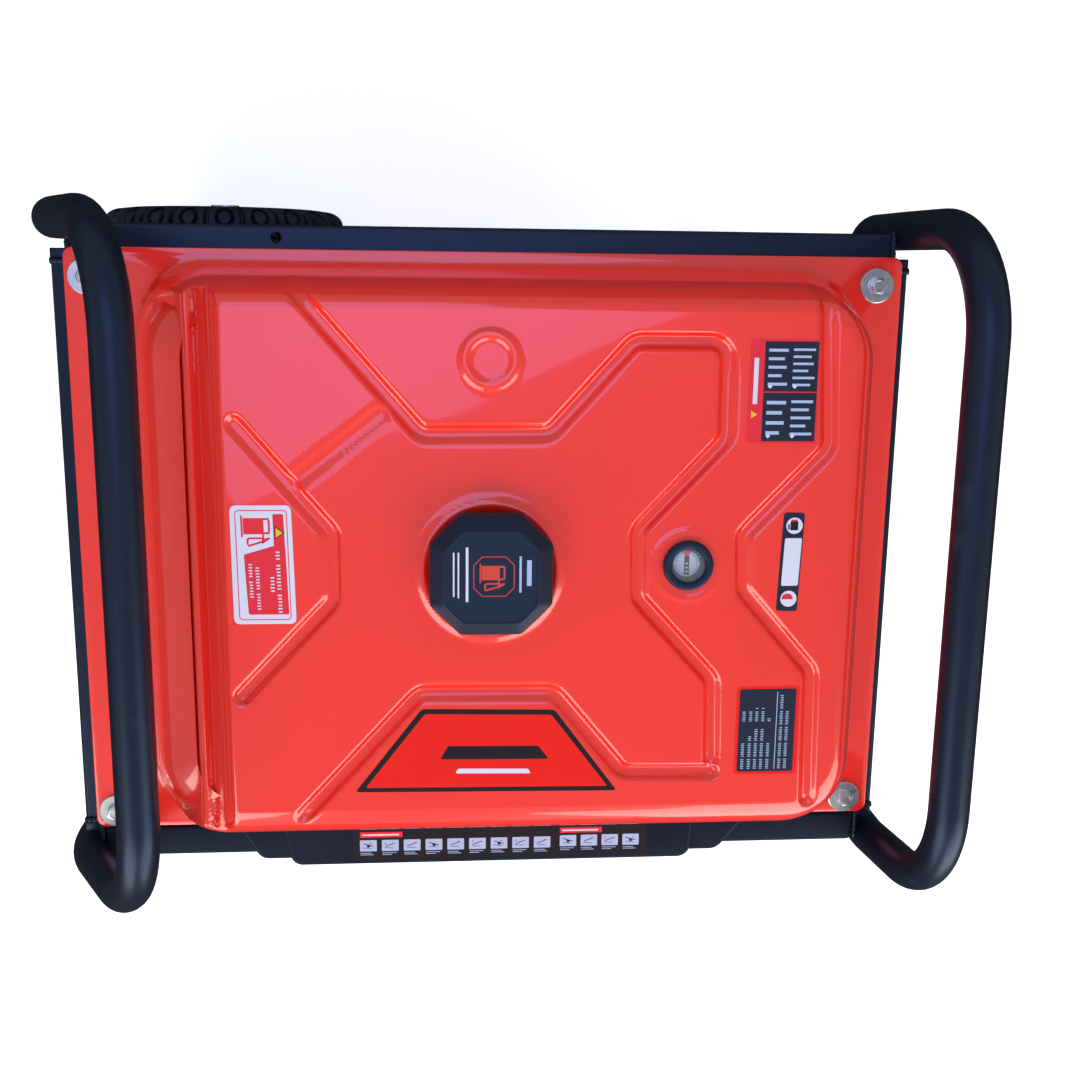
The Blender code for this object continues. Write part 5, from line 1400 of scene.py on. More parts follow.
def build_rim(row):
    """A pressed steel rim: rolled edges, a dished disc with eight holes, and a hub."""
    place = wheel_place(row)
    outer = [
        (64, 27), (63.4, 29), (62, 29.3), (60.4, 28), (59, 24), (58, 16), (55.5, 12.5), (50, 10.5),
        (43, 9.5),
    ]
    outer += [(30, 6.5), (25, 7.5), (21, 11), (19.5, 14), (19, 23), (18, 24.5), (10.6, 24.5)]
    inner = [
        (10.6, -24.5), (18, -24.5), (19, -23), (19.5, 2), (25, 3.5), (30, 2.8), (43, 5.6), (50, 6.6),
        (54, 4),
    ]
    inner += [
        (58, -4), (59, -24), (60.4, -28), (62, -29.3), (63.4, -29), (64, -27), (61, -22), (60.6, 0),
        (61, 22),
    ]
    profile = [(radius * MM, height * MM) for radius, height in outer + inner]
    rim = lathe(row + "_rim_disc", profile, place, 96, ring=True)
    holes = bmesh.new()
    for i in range(8):
        angle = math.tau * i / 8
        spot = Matrix.Translation((38 * MM * math.cos(angle), 38 * MM * math.sin(angle), -10 * MM))
        add_lathe(holes, [(0, 0), (7 * MM, 0), (7 * MM, 40 * MM), (0, 40 * MM)], place @ spot, 28)
    carve(rim, to_object("holes", holes))
    settle(rim, powder, row + "_wheel", stands_for=(row + "_rim",), crease=30)
    shape = bmesh.new()
    face = place @ Matrix.Translation((0, 0, 31 * MM))
    washer = [(10.4, 0), (20, 0), (20.4, 0.5), (20.4, 1.8), (20, 2.2), (10.4, 2.2)]
    add_lathe(shape, [(radius * MM, height * MM) for radius, height in washer], face, 48, ring=True)
    for angle in (0.4, 0.4 + math.pi):
        reach = Vector((math.cos(angle), math.sin(angle), 0))
        add_pipe(
            shape,
            [
                face @ (reach * 9 * MM + Vector((0, 0, 6 * MM))),
                face @ (reach * 18 * MM + Vector((0, 0, 5 * MM))),
            ],
            1.3 * MM,
            10,
        )
    settle(to_object(row + "_axle_washer", shape), zinc)


def build_feet():
    """The two rubber feet, ribbed round their bases."""
    for row in ("front", "back"):
        low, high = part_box(row + "_foot")
        middle = (low + high) / 2
        profile = [(0, 0), (21.5, 0), (23.4, 0.8), (24, 2.4), (24, 5.5), (22.6, 7)]
        for z in (12, 18, 24):
            profile += [
                (22.4 - z * 0.06, z - 3),
                (23.6 - z * 0.12, z - 1.8),
                (23.4 - z * 0.12, z + 0.6),
                (21.8 - z * 0.06, z + 1.8),
            ]
        profile += [(19, 36), (17, 48), (15.8, 60), (15.2, 70), (0, 70)]
        place = Matrix.Translation((middle.x, middle.y, low.z))
        foot = lathe(row + "_foot_moulding", [(r * MM, z * MM) for r, z in profile], place, 64)
        settle(foot, rubber, stands_for=(row + "_foot",), crease=28)


# ---------------------------------------------------------------- control panel


def front_face(y):
    """A drawing plane that faces the front: its X is the X axis, and its Y is the height."""
    return Matrix.Translation((0, y, 0)) @ Matrix.Rotation(math.radians(90), 4, "X")


def inset(corners, distance):
    """The corners of an outline moved inwards, for corners listed anticlockwise."""
    found = []
    for i, corner in enumerate(corners):
        corner = Vector(corner)
        before = (corner - Vector(corners[i - 1])).normalized()
        after = (Vector(corners[(i + 1) % len(corners)]) - corner).normalized()
        normal = Vector((-before.y - after.y, before.x + after.x)) / 2
        found.append(corner + normal * distance / normal.length_squared)
    return found


def slab(name, corners, bend, low, high, rounding):
    """An upright-sided block over an outline seen from above, in millimetres, rounded round its top."""
    rows = []
    levels = [(0, low)] + [
        (rounding * (1 - math.cos(angle)), high - rounding * (1 - math.sin(angle)))
        for angle in np.linspace(0, math.pi / 2, 6)
    ]
    for distance, height in levels:
        outline = rounded_outline(inset(corners, distance / MM), max(bend - distance / MM, 0.4))
        rows.append(np.array([(x * MM, y * MM, height) for x, y in outline]))
    return woven(name, rows, caps=(0, len(rows) - 1))


def round_tool(x, z, radius):
    matrix, _ = along((x, panel_low.y - 5 * MM, z), (x, panel_high.y, z))
    depth = panel_high.y - panel_low.y
    return lathe("tool", [(0, 0), (radius, 0), (radius, depth), (0, depth)], matrix, 56)


def box_tool(low, high):
    shape = bmesh.new()
    rounded_box(shape, low, high, 0)
    return to_object("tool", shape)


def build_panel():
    """The control panel's moulding: a long box, a shallow step and a raised block, with its openings."""
    top = panel_high.z
    low = panel_low.z
    side = [(-330, -242), (-330, -269), (330, -269), (330, -242)]
    step = [(-217, -243), (-198, -274.6), (206, -274.6), (232, -243)]
    block = [(-179, -243), (-172, -276), (-166, -281), (174, -281), (181, -276), (184, -243)]
    panel = slab("panel_moulding", side, 5, low, top - 3 * MM, 3 * MM)
    carve(
        panel,
        slab("step", step, 7, low + 6 * MM, top - 1.3 * MM, 2.5 * MM),
        slab("block", block, 6, low + 12 * MM, top, 3 * MM),
        operation="UNION",
    )
    tools = [
        box_tool((-326 * MM, -265.5 * MM, low + 3 * MM), (326 * MM, -230 * MM, top - 6 * MM)),
        box_tool((-340 * MM, -268.4 * MM, top - 34 * MM), (340 * MM, -230 * MM, top - 7 * MM)),
    ]
    for node in ("socket_flap_left", "socket_flap_right"):
        flap_low, flap_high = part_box(node)
        tools.append(round_tool((flap_low.x + flap_high.x) / 2, flap_low.z + 30 * MM, 24 * MM))
    tools.append(round_tool(meter.x, meter.z, 26 * MM))
    tools.append(round_tool(lock.x, lock.z, 9.3 * MM))
    carve(panel, *tools)
    rocker = box_tool(
        (breaker.x - 8.3 * MM, -300 * MM, breaker.z - 11.3 * MM),
        (breaker.x + 8.3 * MM, -240 * MM, breaker.z + 11.3 * MM),
    )
    carve(panel, rocker)
    settle(panel, grained, stands_for=("control_panel",), crease=32)


def build_panel_labels():
    """The strip of small pictures along the panel's top, and the plain print round its controls."""
    top = panel_high.z + 0.02 * MM
    tiles = [(-112.2 + 19.14 * i, -257.8) for i in range(9)] + [(64 + 18.7 * i, -257) for i in range(4)]
    pictures = [rounded_outline(rectangle(x, y - 10.5, x + 14.7, y), 0.8) for x, y in tiles]
    lines = []
    drawn = []
    spots = []
    for i, (x, y) in enumerate(tiles):
        lines += bars(
            x + 0.4, y - 14.6, x + 14, y - 11.4, 2, 0.35, True, (0.9, 0.62) if i % 2 else (0.7, 0.85)
        )
        lean = 1.2 if i % 3 else -1.6
        drawn.append(
            [
                (x + 3, y - 5.2 - lean),
                (x + 11.5, y - 4.6 + lean),
                (x + 11.5, y - 3.9 + lean),
                (x + 3, y - 4.5 - lean),
            ]
        )
        drawn.append([(x + 2.6, y - 7.4), (x + 10, y - 8), (x + 10, y - 7.6), (x + 2.6, y - 7)])
        if i % 3 == 0:
            drawn.append(disc(x + 7.4, y - 5.6, 1.5, 10))
        spots.append(disc(x + (3.2 if i % 2 else 9.5), y - 3.2, 0.65, 8))
    strip = [
        (film_black, [rounded_outline(rectangle(-118, -276, 142, -247), 2)]),
        (film_red, [rectangle(-112, -255.4, -75, -250.4), rectangle(64, -254.8, 101.4, -249.8)]),
        (film_blue, pictures + lines),
        (film_navy, drawn),
        (film_white, bars(-110, -254.3, -78, -251.6, 1, 0.5) + bars(66, -253.7, 98, -251, 1, 0.5)),
        (film_red, spots),
    ]
    layered("starting_pictures", strip, top)
    fascia = [(film_navy, [rounded_outline(rectangle(-163, 266, 171, 420), 6)])]
    marks = frame_strips(rounded_outline(rectangle(-160, 269, 168, 417), 4), 0.6)
    for x in (40, 128):
        marks += frame_strips(rounded_outline(rectangle(x - 34, 296, x + 34, 372), 3), 0.5)
        marks += bars(x - 22, 280, x + 22, 290, 2, 0.35, True, (1.0, 0.7))
        marks += bars(x - 20, 378, x + 20, 384, 1, 0.5)
    marks += (
        bars(-150, 404, -90, 411, 1, 0.5)
        + bars(-66, 352, -30, 358, 1, 0.5)
        + bars(-66, 302, -38, 312, 2, 0.35)
    )
    marks += (
        bars(-150, 270.5, -138, 274, 1, 0.5)
        + bars(-108, 300, -92, 306, 1, 0.5)
        + bars(-110, 284, -92, 290, 1, 0.5)
    )
    for angle in (60, 90, 120):
        turn = math.radians(angle)
        marks.append(disc(-125 + 14 * math.cos(turn), 287 + 14 * math.sin(turn), 0.9, 10))
    fascia.append((film_blue, marks))
    fascia.append((film_white, bars(20, 398, 148, 410, 1, 0.55)))
    fascia.append((film_red, [rectangle(-20, 398, 12, 410)]))
    layered("fascia_print", fascia, 0.02 * MM, face=front_face(panel_low.y))


def build_sockets():
    """Behind each flap a shuttered socket, and the sprung flap itself."""
    for side in ("left", "right"):
        node = "socket_flap_" + side
        low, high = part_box(node)
        x = (low.x + high.x) / 2
        z = low.z + 30 * MM
        face, _ = along((x, panel_low.y + 11 * MM, z), (x, panel_low.y - 1, z))
        rim = [
            (0, 0), (18.5, 0), (19, 1), (20.5, 9), (21, 10.6), (23.5, 10.6), (23.8, 9.5), (23.8, -6),
            (0, -6),
        ]
        settle(
            lathe(f"socket_{side}_insert", [(r * MM, h * MM) for r, h in rim], face, 64),
            ivory,
            crease=30,
        )
        # Black film where the socket's pin holes are: painted shade standing in for the dark holes
        slots = [
            (film_black, [rectangle(-2, 6, 2, 13)] + [
                [(s * 4.5, -2.4), (s * 11, -2.4), (s * 11, 0.2), (s * 4.5, 0.2)][:: s] for s in (1, -1)
            ]),
        ]
        base = front_face(0)
        place = Matrix.Translation((x, panel_low.y + 11 * MM - 0.02 * MM, z)) @ base
        layered(f"socket_{side}_slots", slots, 0, face=place)
        shape = bmesh.new()
        half = (high.x - low.x) / 2
        outline = rounded_outline(rectangle(-half, low.z - z, half, high.z - z - 3 * MM), 6 * MM)
        back = Matrix.Translation((x, high.y, z)) @ base
        add_plate(shape, outline, back, 3 * MM, 1 * MM)
        raised = rounded_outline(
            rectangle(-half + 6 * MM, low.z - z + 9 * MM, half - 6 * MM, half - 8 * MM), 5 * MM
        )
        add_plate(shape, raised, back, 4 * MM, 0.8 * MM)
        rounded_box(
            shape, (x - 14 * MM, low.y, low.z), (x + 14 * MM, high.y - 1 * MM, low.z + 4 * MM), 1.2 * MM
        )
        pin_z = high.z - 2.5 * MM
        for start, end in ((-24, -12), (-10, 10), (12, 24)):
            ends = [(x + start * MM, high.y - 2.5 * MM, pin_z), (x + end * MM, high.y - 2.5 * MM, pin_z)]
            add_pipe(shape, ends, 2.5 * MM, 20)
        flap = to_object(f"socket_{side}_flap", shape)
        settle(flap, grained, "flap_" + side, stands_for=(node,), crease=32)


def build_meter():
    """The voltmeter: bezel, scale, needle and lens."""
    face, _ = along((meter.x, panel_low.y, meter.z), (meter.x, panel_low.y - 1, meter.z))
    bezel = [
        (0, -16), (25, -16), (25, 0), (28.6, 0.2), (28.9, 1.5), (28.2, 4.2), (26.8, 5), (25, 4.8),
        (24, 3.6), (24, 1), (0, 1),
    ]
    ring = lathe("voltmeter_bezel", [(r * MM, h * MM) for r, h in bezel], face, 72)
    settle(ring, grained, stands_for=("voltmeter",), crease=30)
    x = meter.x / MM
    z = meter.z / MM
    ticks = []
    for i in range(11):
        angle = math.radians(150 - 12 * i)
        reach = Vector((math.cos(angle), math.sin(angle)))
        across = Vector((-reach.y, reach.x)) * (0.5 if i % 5 == 0 else 0.28)
        inner = Vector((x, z - 4)) + reach * (17 if i % 5 else 15.5)
        outer = Vector((x, z - 4)) + reach * 20
        ticks.append(
            [tuple(inner - across), tuple(outer - across), tuple(outer + across), tuple(inner + across)]
        )
    dial = [
        (film_white, [disc(x, z, 23.7, 48)]),
        (film_black, ticks + [rectangle(x - 4, z - 16, x + 4, z - 14.4), disc(x, z - 8, 2.6, 20)]),
        (film_red, [[(x - 0.5, z - 8), (x + 0.5, z - 8), (x - 11.6, z + 9.2), (x - 12, z + 9)]]),
    ]
    layered("voltmeter_dial", dial, 1.02 * MM, face=front_face(panel_low.y))
    glass = [(0, 2.6), (24, 2.6), (24, 3.2), (18, 3.9), (0, 4.3)]
    lens = lathe("voltmeter_lens", [(r * MM, h * MM) for r, h in glass], face, 64)
    settle(lens, acrylic, crease=30)


def build_switches():
    """The key in its lock, the circuit breaker's lever, buttons, lamp and terminals."""
    face, _ = along((lock.x, panel_low.y, lock.z), (lock.x, panel_low.y - 1, lock.z))
    shape = bmesh.new()
    add_lathe(
        shape,
        [(0, -12 * MM), (8.8 * MM, -12 * MM), (8.8 * MM, 1.2 * MM), (8 * MM, 2 * MM), (0, 2 * MM)],
        face,
        48,
    )
    outline = rounded_outline(
        [(-1.1 * MM, -9 * MM), (1.1 * MM, -9 * MM), (1.1 * MM, 9 * MM), (-1.1 * MM, 9 * MM)], 0.9 * MM
    )
    add_plate(
        shape,
        outline,
        front_face(0) @ Matrix.Translation((lock.x, lock.z, -panel_low.y)),
        6.4 * MM,
        0.6 * MM,
    )
    settle(to_object("key_and_barrel", shape), steel, "key", stands_for=("ignition_key",), crease=30)
    collar = [(9.4, -1), (14, 0), (14, 1.2), (12.6, 2.6), (10.4, 2.8), (9.4, 1.6)]
    ring = lathe("lock_collar", [(r * MM, h * MM) for r, h in collar], face, 48, ring=True)
    settle(ring, zinc, crease=30)
    low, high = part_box("breaker_lever")
    shape = bmesh.new()
    middle = (low + high) / 2
    pivot = Vector((middle.x, -275 * MM, middle.z))
    add_pipe(shape, [pivot - Vector((7.5 * MM, 0, 0)), pivot + Vector((7.5 * MM, 0, 0))], 6 * MM, 32)
    rounded_box(
        shape,
        (low.x + 1 * MM, low.y, middle.z - 2.6 * MM),
        (high.x - 1 * MM, pivot.y, middle.z + 2.6 * MM),
        0.9 * MM,
    )
    lever = to_object("breaker_toggle", shape)
    settle(lever, signal, "breaker", stands_for=("breaker_lever",), crease=32)
    shape = bmesh.new()
    inner = rounded_outline(
        rectangle(breaker.x - 8.2 * MM, breaker.z - 11.2 * MM, breaker.x + 8.2 * MM, breaker.z + 11.2 * MM),
        1 * MM,
    )
    outer = rounded_outline(
        rectangle(breaker.x - 13 * MM, breaker.z - 16 * MM, breaker.x + 13 * MM, breaker.z + 16 * MM),
        3 * MM,
    )
    surround = plate("breaker_surround", outer, front_face(panel_low.y), 2.4 * MM, 0.8 * MM)
    carve(surround, plate("inside", inner, front_face(panel_low.y + 5 * MM), 20 * MM))
    settle(surround, grained, crease=32)
    for name, x, z, finish, slot in (
        ("lamp", -48, 385, signal, "signal_red"),
        ("reset_left", 84, 282, rubber, "rubber"),
        ("reset_right", 84, 384, rubber, "rubber"),
    ):
        spot, _ = along((x * MM, panel_low.y, z * MM), (x * MM, panel_low.y - 1, z * MM))
        knob = [(0, -2), (5.6, -2), (7.4, 0), (7.4, 1.2), (6.6, 2), (5.2, 2), (5, 3.6), (3.6, 4.8), (0, 5.2)]
        settle(lathe("panel_" + name, [(r * MM, h * MM) for r, h in knob], spot, 40), finish, crease=32)
    side_y = -269 * MM
    for name, x, z, finish, slot in (
        ("positive", 262, 330, signal, "signal_red"),
        ("negative", 290, 330, rubber, "rubber"),
    ):
        spot, _ = along((x * MM, side_y, z * MM), (x * MM, side_y - 1, z * MM))
        shape = bmesh.new()
        add_lathe(
            shape,
            [(0, 0), (9.5 * MM, 0), (9.5 * MM, 2 * MM), (6 * MM, 3 * MM), (6 * MM, 5 * MM), (0, 5 * MM)],
            spot,
            40,
        )
        ridged = [(r, (7.6 if i % 2 else 8.3) * MM) for i, r in enumerate(np.linspace(0, math.tau, 33)[:-1])]
        outline = [(size * math.cos(angle), size * math.sin(angle)) for angle, size in ridged]
        add_plate(shape, outline, spot @ Matrix.Translation((0, 0, 5 * MM)), 11 * MM, 0.7 * MM)
        settle(to_object("terminal_" + name, shape), finish, crease=30)
    shape = bmesh.new()
    add_hex_bolt(shape, (276 * MM, side_y, 282 * MM), (0, -1, 0), 13 * MM, spring=True)
    settle(to_object("earth_terminal", shape), zinc, crease=25)
    print_layers = [(film_navy, [rounded_outline(rectangle(244, 266, 308, 360), 4)])]
    print_layers.append((film_blue, bars(252, 347, 300, 355, 1, 0.5) + bars(256, 308, 268, 314, 1, 0.4)
                         + bars(284, 308, 296, 314, 1, 0.4) + bars(258, 268.5, 294, 272, 1, 0.5)))
    layered("terminal_print", print_layers, 0.02 * MM, face=front_face(side_y))
    left_print = [(film_navy, [rounded_outline(rectangle(-312, 280, -232, 400), 4)])]
    left_print.append((film_blue, bars(-304, 290, -240, 372, 9, 0.3) + bars(-304, 380, -262, 390, 1, 0.5)))
    layered("rating_print", left_print, 0.02 * MM, face=front_face(side_y))


# ---------------------------------------------------------------- engine, starter and alternator


def radial_slots(place, count, inner, outer, width, low, high, skip=()):
    """A cutting tool: slots that run outwards round an axis."""
    shape = bmesh.new()
    for i in range(count):
        if i in skip:
            continue
        turn = place @ Matrix.Rotation(math.tau * i / count, 4, "Z")
        outline = rounded_outline(rectangle(inner, -width / 2, outer, width / 2), width * 0.45)
        add_plate(shape, outline, turn @ Matrix.Translation((0, 0, low)), high - low)
    return to_object("slots", shape)


def build_starter():
    """The recoil starter's slotted cover, its grip, and the rope between them."""
    low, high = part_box("recoil_housing")
    middle = (low + high) / 2
    place, depth = along((high.x, middle.y, middle.z), (low.x, middle.y, middle.z))
    radius = (high.y - low.y) / 2
    wall = 3 * MM
    outer = [
        (0, depth),
        (radius * 0.34, depth),
        (radius * 0.38, depth - 2.5 * MM),
        (radius * 0.52, depth - 2.5 * MM),
    ]
    outer += [
        (radius * 0.56, depth - 0.6 * MM), (radius * 0.62, depth - 1 * MM), (radius * 0.9, depth * 0.76)
    ]
    outer += [
        (radius * 0.965, depth * 0.64),
        (radius * 0.99, depth * 0.5),
        (radius * 0.99, 5 * MM),
        (radius, 4 * MM),
        (radius, 0),
    ]
    inner = [
        (radius - wall, 0),
        (radius - wall, depth * 0.46),
        (radius * 0.9, depth * 0.62),
        (radius * 0.6, depth - 5 * MM),
        (0, depth - 5 * MM),
    ]
    cover = lathe("recoil_cover", outer + inner, place, 96)
    carve(
        cover,
        radial_slots(place, 20, radius * 0.62, radius * 0.9, 5.5 * MM, depth * 0.4, depth * 1.2, (12, 13)),
    )
    settle(cover, grained, stands_for=("recoil_housing",), crease=32)
    screws = []
    for angle in (45, 135, 225, 315):
        turn = math.radians(angle)
        screws.append(
            (high.x - 1 * MM, middle.y + 111 * MM * math.cos(turn), middle.z + 106 * MM * math.sin(turn))
        )
    bolts("recoil_screws", screws, (-1, 0, 0), 10 * MM)
    low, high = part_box("recoil_grip")
    middle = (low + high) / 2
    length = high.z - low.z
    points = [Vector((middle.x, middle.y, low.z + length * i / 40)) for i in range(41)]
    swell = [
        min(1, 0.62 + 0.38 * math.sin(math.pi * i / 40) ** 0.35) * (1 - 0.05 * (i % 4 == 0))
        for i in range(41)
    ]
    shape = bmesh.new()
    add_pipe(shape, points, 9.6 * MM, 32, swell=lambda i: swell[i])
    boss, _ = along((middle.x, middle.y, middle.z), (high.x, middle.y, middle.z))
    add_lathe(shape, [(0, 0), (9 * MM, 0), (8.5 * MM, 6 * MM), (6 * MM, 9.6 * MM), (0, 9.8 * MM)], boss, 32)
    settle(
        to_object("pull_grip", shape),
        grained,
        "grip",
        stands_for=("recoil_grip",),
        crease=40,
    )
    inside = Vector((high.x + 22 * MM, middle.y, middle.z))
    knot = Vector((high.x - 4 * MM, middle.y, middle.z))
    path = [inside.lerp(knot, i / 12) for i in range(13)]
    rope = pipe("recoil_rope", path, 2 * MM, 14)
    rope.data.materials.append(rope_braid.material)
    rope.data.shade_smooth()
    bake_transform(rope)
    eyelet, _ = along((high.x + 6 * MM, middle.y, middle.z), (high.x, middle.y, middle.z))
    collar = [(2.6, 0), (6.5, 0), (6.5, 3.6), (5.4, 5.2), (3.6, 5.4), (2.6, 4)]
    guide = lathe("rope_guide", [(r * MM, h * MM) for r, h in collar], eyelet, 36, ring=True)
    settle(guide, ivory, crease=30)


def build_alternator():
    """Cooling fins along the stator, its tie bolts, and the slotted end cover."""
    low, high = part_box("alternator_end_cover")
    middle = (low + high) / 2
    place, depth = along((low.x, middle.y, middle.z), (high.x, middle.y, middle.z))
    radius = (high.y - low.y) / 2
    wall = 3 * MM
    outer = [
        (0, depth),
        (26 * MM, depth),
        (28 * MM, depth - 2 * MM),
        (34 * MM, depth - 2 * MM),
        (36 * MM, depth),
        (radius - 24 * MM, depth),
    ]
    outer += (
        arc((radius - 18 * MM, depth - 18 * MM), 18 * MM, 80, 0, 8)
        + [(radius, 6 * MM), (radius + 1 * MM, 5 * MM), (radius + 1 * MM, 0)]
    )
    inner = [
        (radius - wall, 0),
        (radius - wall, depth - 20 * MM),
        (radius - 24 * MM, depth - 5 * MM),
        (0, depth - 5 * MM),
    ]
    cover = lathe("end_cover", outer + inner, place, 96)
    carve(
        cover,
        radial_slots(place, 24, radius * 0.42, radius * 0.76, 5 * MM, depth - 12 * MM, depth + 5 * MM),
    )
    carve(cover, radial_slots(place, 24, radius * 0.9, radius * 1.1, 5 * MM, depth * 0.22, depth * 0.66))
    settle(cover, grained, stands_for=("alternator_end_cover",), crease=32)
    stator_low, stator_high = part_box("alternator_stator")
    length = stator_high.x - stator_low.x - 56 * MM
    centre = Matrix.Translation((stator_high.x - length / 2 - 3 * MM, 0, middle.z))
    shape = bmesh.new()
    for i in range(48):
        angle = math.tau * i / 48
        if i in (17, 18, 19, 29, 30, 31):  # no fins where the feet stand
            continue
        turn = centre @ Matrix.Rotation(angle, 4, "X") @ Matrix.Translation((0, 0, 106.4 * MM))
        outline = rectangle(-length / 2, -1.1 * MM, length / 2, 1.1 * MM)
        add_plate(shape, outline, turn @ Matrix.Translation((0, 0, -1.5 * MM)), 3.4 * MM, 0.6 * MM)
    settle(to_object("stator_fins", shape), cast, crease=30)
    bolt_reach = 79.36 * MM
    places = []
    for angle in (45, 135, 225, 315):
        turn = math.radians(angle)
        places.append(
            (high.x - 7.5 * MM, bolt_reach * math.cos(turn), middle.z + bolt_reach * math.sin(turn))
        )
    bolts("end_cover_bolts", places, (1, 0, 0), 10 * MM)
    rod_reach = 107.91 * MM
    shape = bmesh.new()
    for angle in (30, 150):
        turn = math.radians(angle)
        y = rod_reach * math.cos(turn)
        z = middle.z + rod_reach * math.sin(turn)
        add_pipe(shape, [(stator_low.x + 20 * MM, y, z), (stator_high.x - 14 * MM, y, z)], 4 * MM, 18)
    settle(to_object("tie_rods", shape), zinc, crease=30)


def build_engine():
    """Bolts, ribs, plugs and covers round the crankcase and the cylinder."""
    _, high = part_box("crankcase")
    front = -95 * MM
    places = []
    for x, z in (
        (-180, 126), (-126, 119), (-72, 126), (-72, 205), (-72, 284), (-126, 291), (-180, 284), (-180, 205)
    ):
        places.append((x * MM, front, z * MM))
    bolts("sump_bolts", places, (0, -1, 0), 10 * MM)
    shape = bmesh.new()
    for z in range(150, 280, 16):
        rounded_box(
            shape, (-168 * MM, front - 3 * MM, z * MM), (-112 * MM, front + 2 * MM, (z + 5) * MM), 1.2 * MM
        )
    for y in (-60, -30, 0, 30, 60):
        rounded_box(
            shape,
            (-184 * MM, (y - 2.5) * MM, high.z - 2 * MM),
            (-150 * MM, (y + 2.5) * MM, high.z + 3 * MM),
            1.2 * MM,
        )
    settle(to_object("crankcase_ribs", shape), cast, crease=32)
    drain = bmesh.new()
    add_hex_bolt(drain, (-150 * MM, front, 122 * MM), (0, -1, 0), 17 * MM)
    settle(to_object("drain_plug", drain), zinc, crease=25)
    cap_low, cap_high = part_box("oil_dipstick")
    head = (cap_low + cap_high) / 2
    face, _ = along((head.x, cap_low.y + 9 * MM, head.z), (head.x, cap_low.y, head.z))
    shape = bmesh.new()
    ridges = [((15 if i % 2 else 13.6) * MM, math.tau * i / 28) for i in range(28)]
    add_plate(shape, [(r * math.cos(a), r * math.sin(a)) for r, a in ridges], face, 8.4 * MM, 1.2 * MM)
    shape_bar = face @ Matrix.Translation((0, 0, 7.6 * MM))
    add_plate(
        shape,
        rounded_outline(rectangle(-12 * MM, -2.4 * MM, 12 * MM, 2.4 * MM), 2 * MM),
        shape_bar,
        2.6 * MM,
        0.8 * MM,
    )
    settle(to_object("dipstick_head", shape), grained, crease=30)


def build_filter():
    """The air filter's ribbed cover with its knob, and the two clips."""
    low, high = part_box("air_filter_cover")
    shape = bmesh.new()
    for i in range(5):
        x = low.x + (high.x - low.x) * (0.2 + 0.15 * i)
        rounded_box(
            shape,
            (x - 2 * MM, low.y + 8 * MM, high.z - 2 * MM),
            (x + 2 * MM, high.y - 8 * MM, high.z + 2 * MM),
            1 * MM,
        )
        for z_low, z_high in ((low.z + 9 * MM, low.z + 26 * MM), (high.z - 26 * MM, high.z - 9 * MM)):
            rounded_box(
                shape, (x - 2 * MM, low.y - 2 * MM, z_low), (x + 2 * MM, low.y + 2 * MM, z_high), 1 * MM
            )
    settle(to_object("filter_ribs", shape), grained, crease=32)
    middle = (low + high) / 2
    face, _ = along((middle.x, low.y + 1 * MM, middle.z), (middle.x, low.y - 1, middle.z))
    knob = bmesh.new()
    ridges = [((13 if i % 3 else 11.4) * MM, math.tau * i / 24) for i in range(24)]
    add_lathe(knob, [(0, 0), (15 * MM, 0), (15 * MM, 1.5 * MM), (0, 1.5 * MM)], face, 40)
    add_plate(
        knob,
        [(r * math.cos(a), r * math.sin(a)) for r, a in ridges],
        face @ Matrix.Translation((0, 0, 1.4 * MM)),
        9 * MM,
        1.4 * MM,
    )
    settle(to_object("filter_knob", knob), grained, crease=30)
    clips = bmesh.new()
    for x in (low.x - 2.2 * MM, high.x + 0.2 * MM):
        rounded_box(
            clips,
            (x, high.y - 14 * MM, middle.z - 12 * MM),
            (x + 2 * MM, high.y + 14 * MM, middle.z + 12 * MM),
            0.8 * MM,
        )
        rounded_box(
            clips,
            (x - 1 * MM, high.y - 20 * MM, middle.z - 8 * MM),
            (x + 3 * MM, high.y - 12 * MM, middle.z + 8 * MM),
            1.2 * MM,
        )
    settle(to_object("filter_clips", clips), zinc, crease=32)


def build_silencer_guard():
    """A slotted heat guard that stands off the silencer's outer side, with its screws and bands."""
    low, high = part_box("silencer")
    left = low.x + 72 * MM
    right = high.x - 44 * MM
    bottom = low.z + 44 * MM
    top = high.z - 30 * MM
    face = Matrix.Translation((0, high.y + 6 * MM, 0)) @ Matrix.Rotation(math.radians(-90), 4, "X")
    outline = rounded_outline(rectangle(left, -top, right, -bottom), 12 * MM)
    guard = plate("heat_guard", outline, face @ Matrix.Translation((0, 0, -1.6 * MM)), 1.6 * MM, 0.6 * MM)
    tools = bmesh.new()
    for i in range(8):
        x = left + (right - left) * (i + 0.75) / 8.5
        for z_low, z_high in (
            (bottom + 8 * MM, (bottom + top) / 2 - 3 * MM), ((bottom + top) / 2 + 3 * MM, top - 8 * MM)
        ):
            slot = rounded_outline(rectangle(x - 4 * MM, -z_high, x + 4 * MM, -z_low), 3.6 * MM)
            add_plate(tools, slot, face @ Matrix.Translation((0, 0, -6 * MM)), 12 * MM)
    carve(guard, to_object("slots", tools))
    settle(guard, steel, crease=30)
    corners = [
        (x, high.y + 5.6 * MM, z)
        for x in (left + 9 * MM, right - 9 * MM)
        for z in (bottom + 5 * MM, top - 5 * MM)
    ]
    bolts("guard_screws", corners, (0, 1, 0), 7 * MM)
    shape = bmesh.new()
    for x, _, z in corners:
        add_pipe(shape, [(x, high.y - 6 * MM, z), (x, high.y + 4.6 * MM, z)], 4 * MM, 18)
    settle(to_object("guard_standoffs", shape), steel, crease=32)


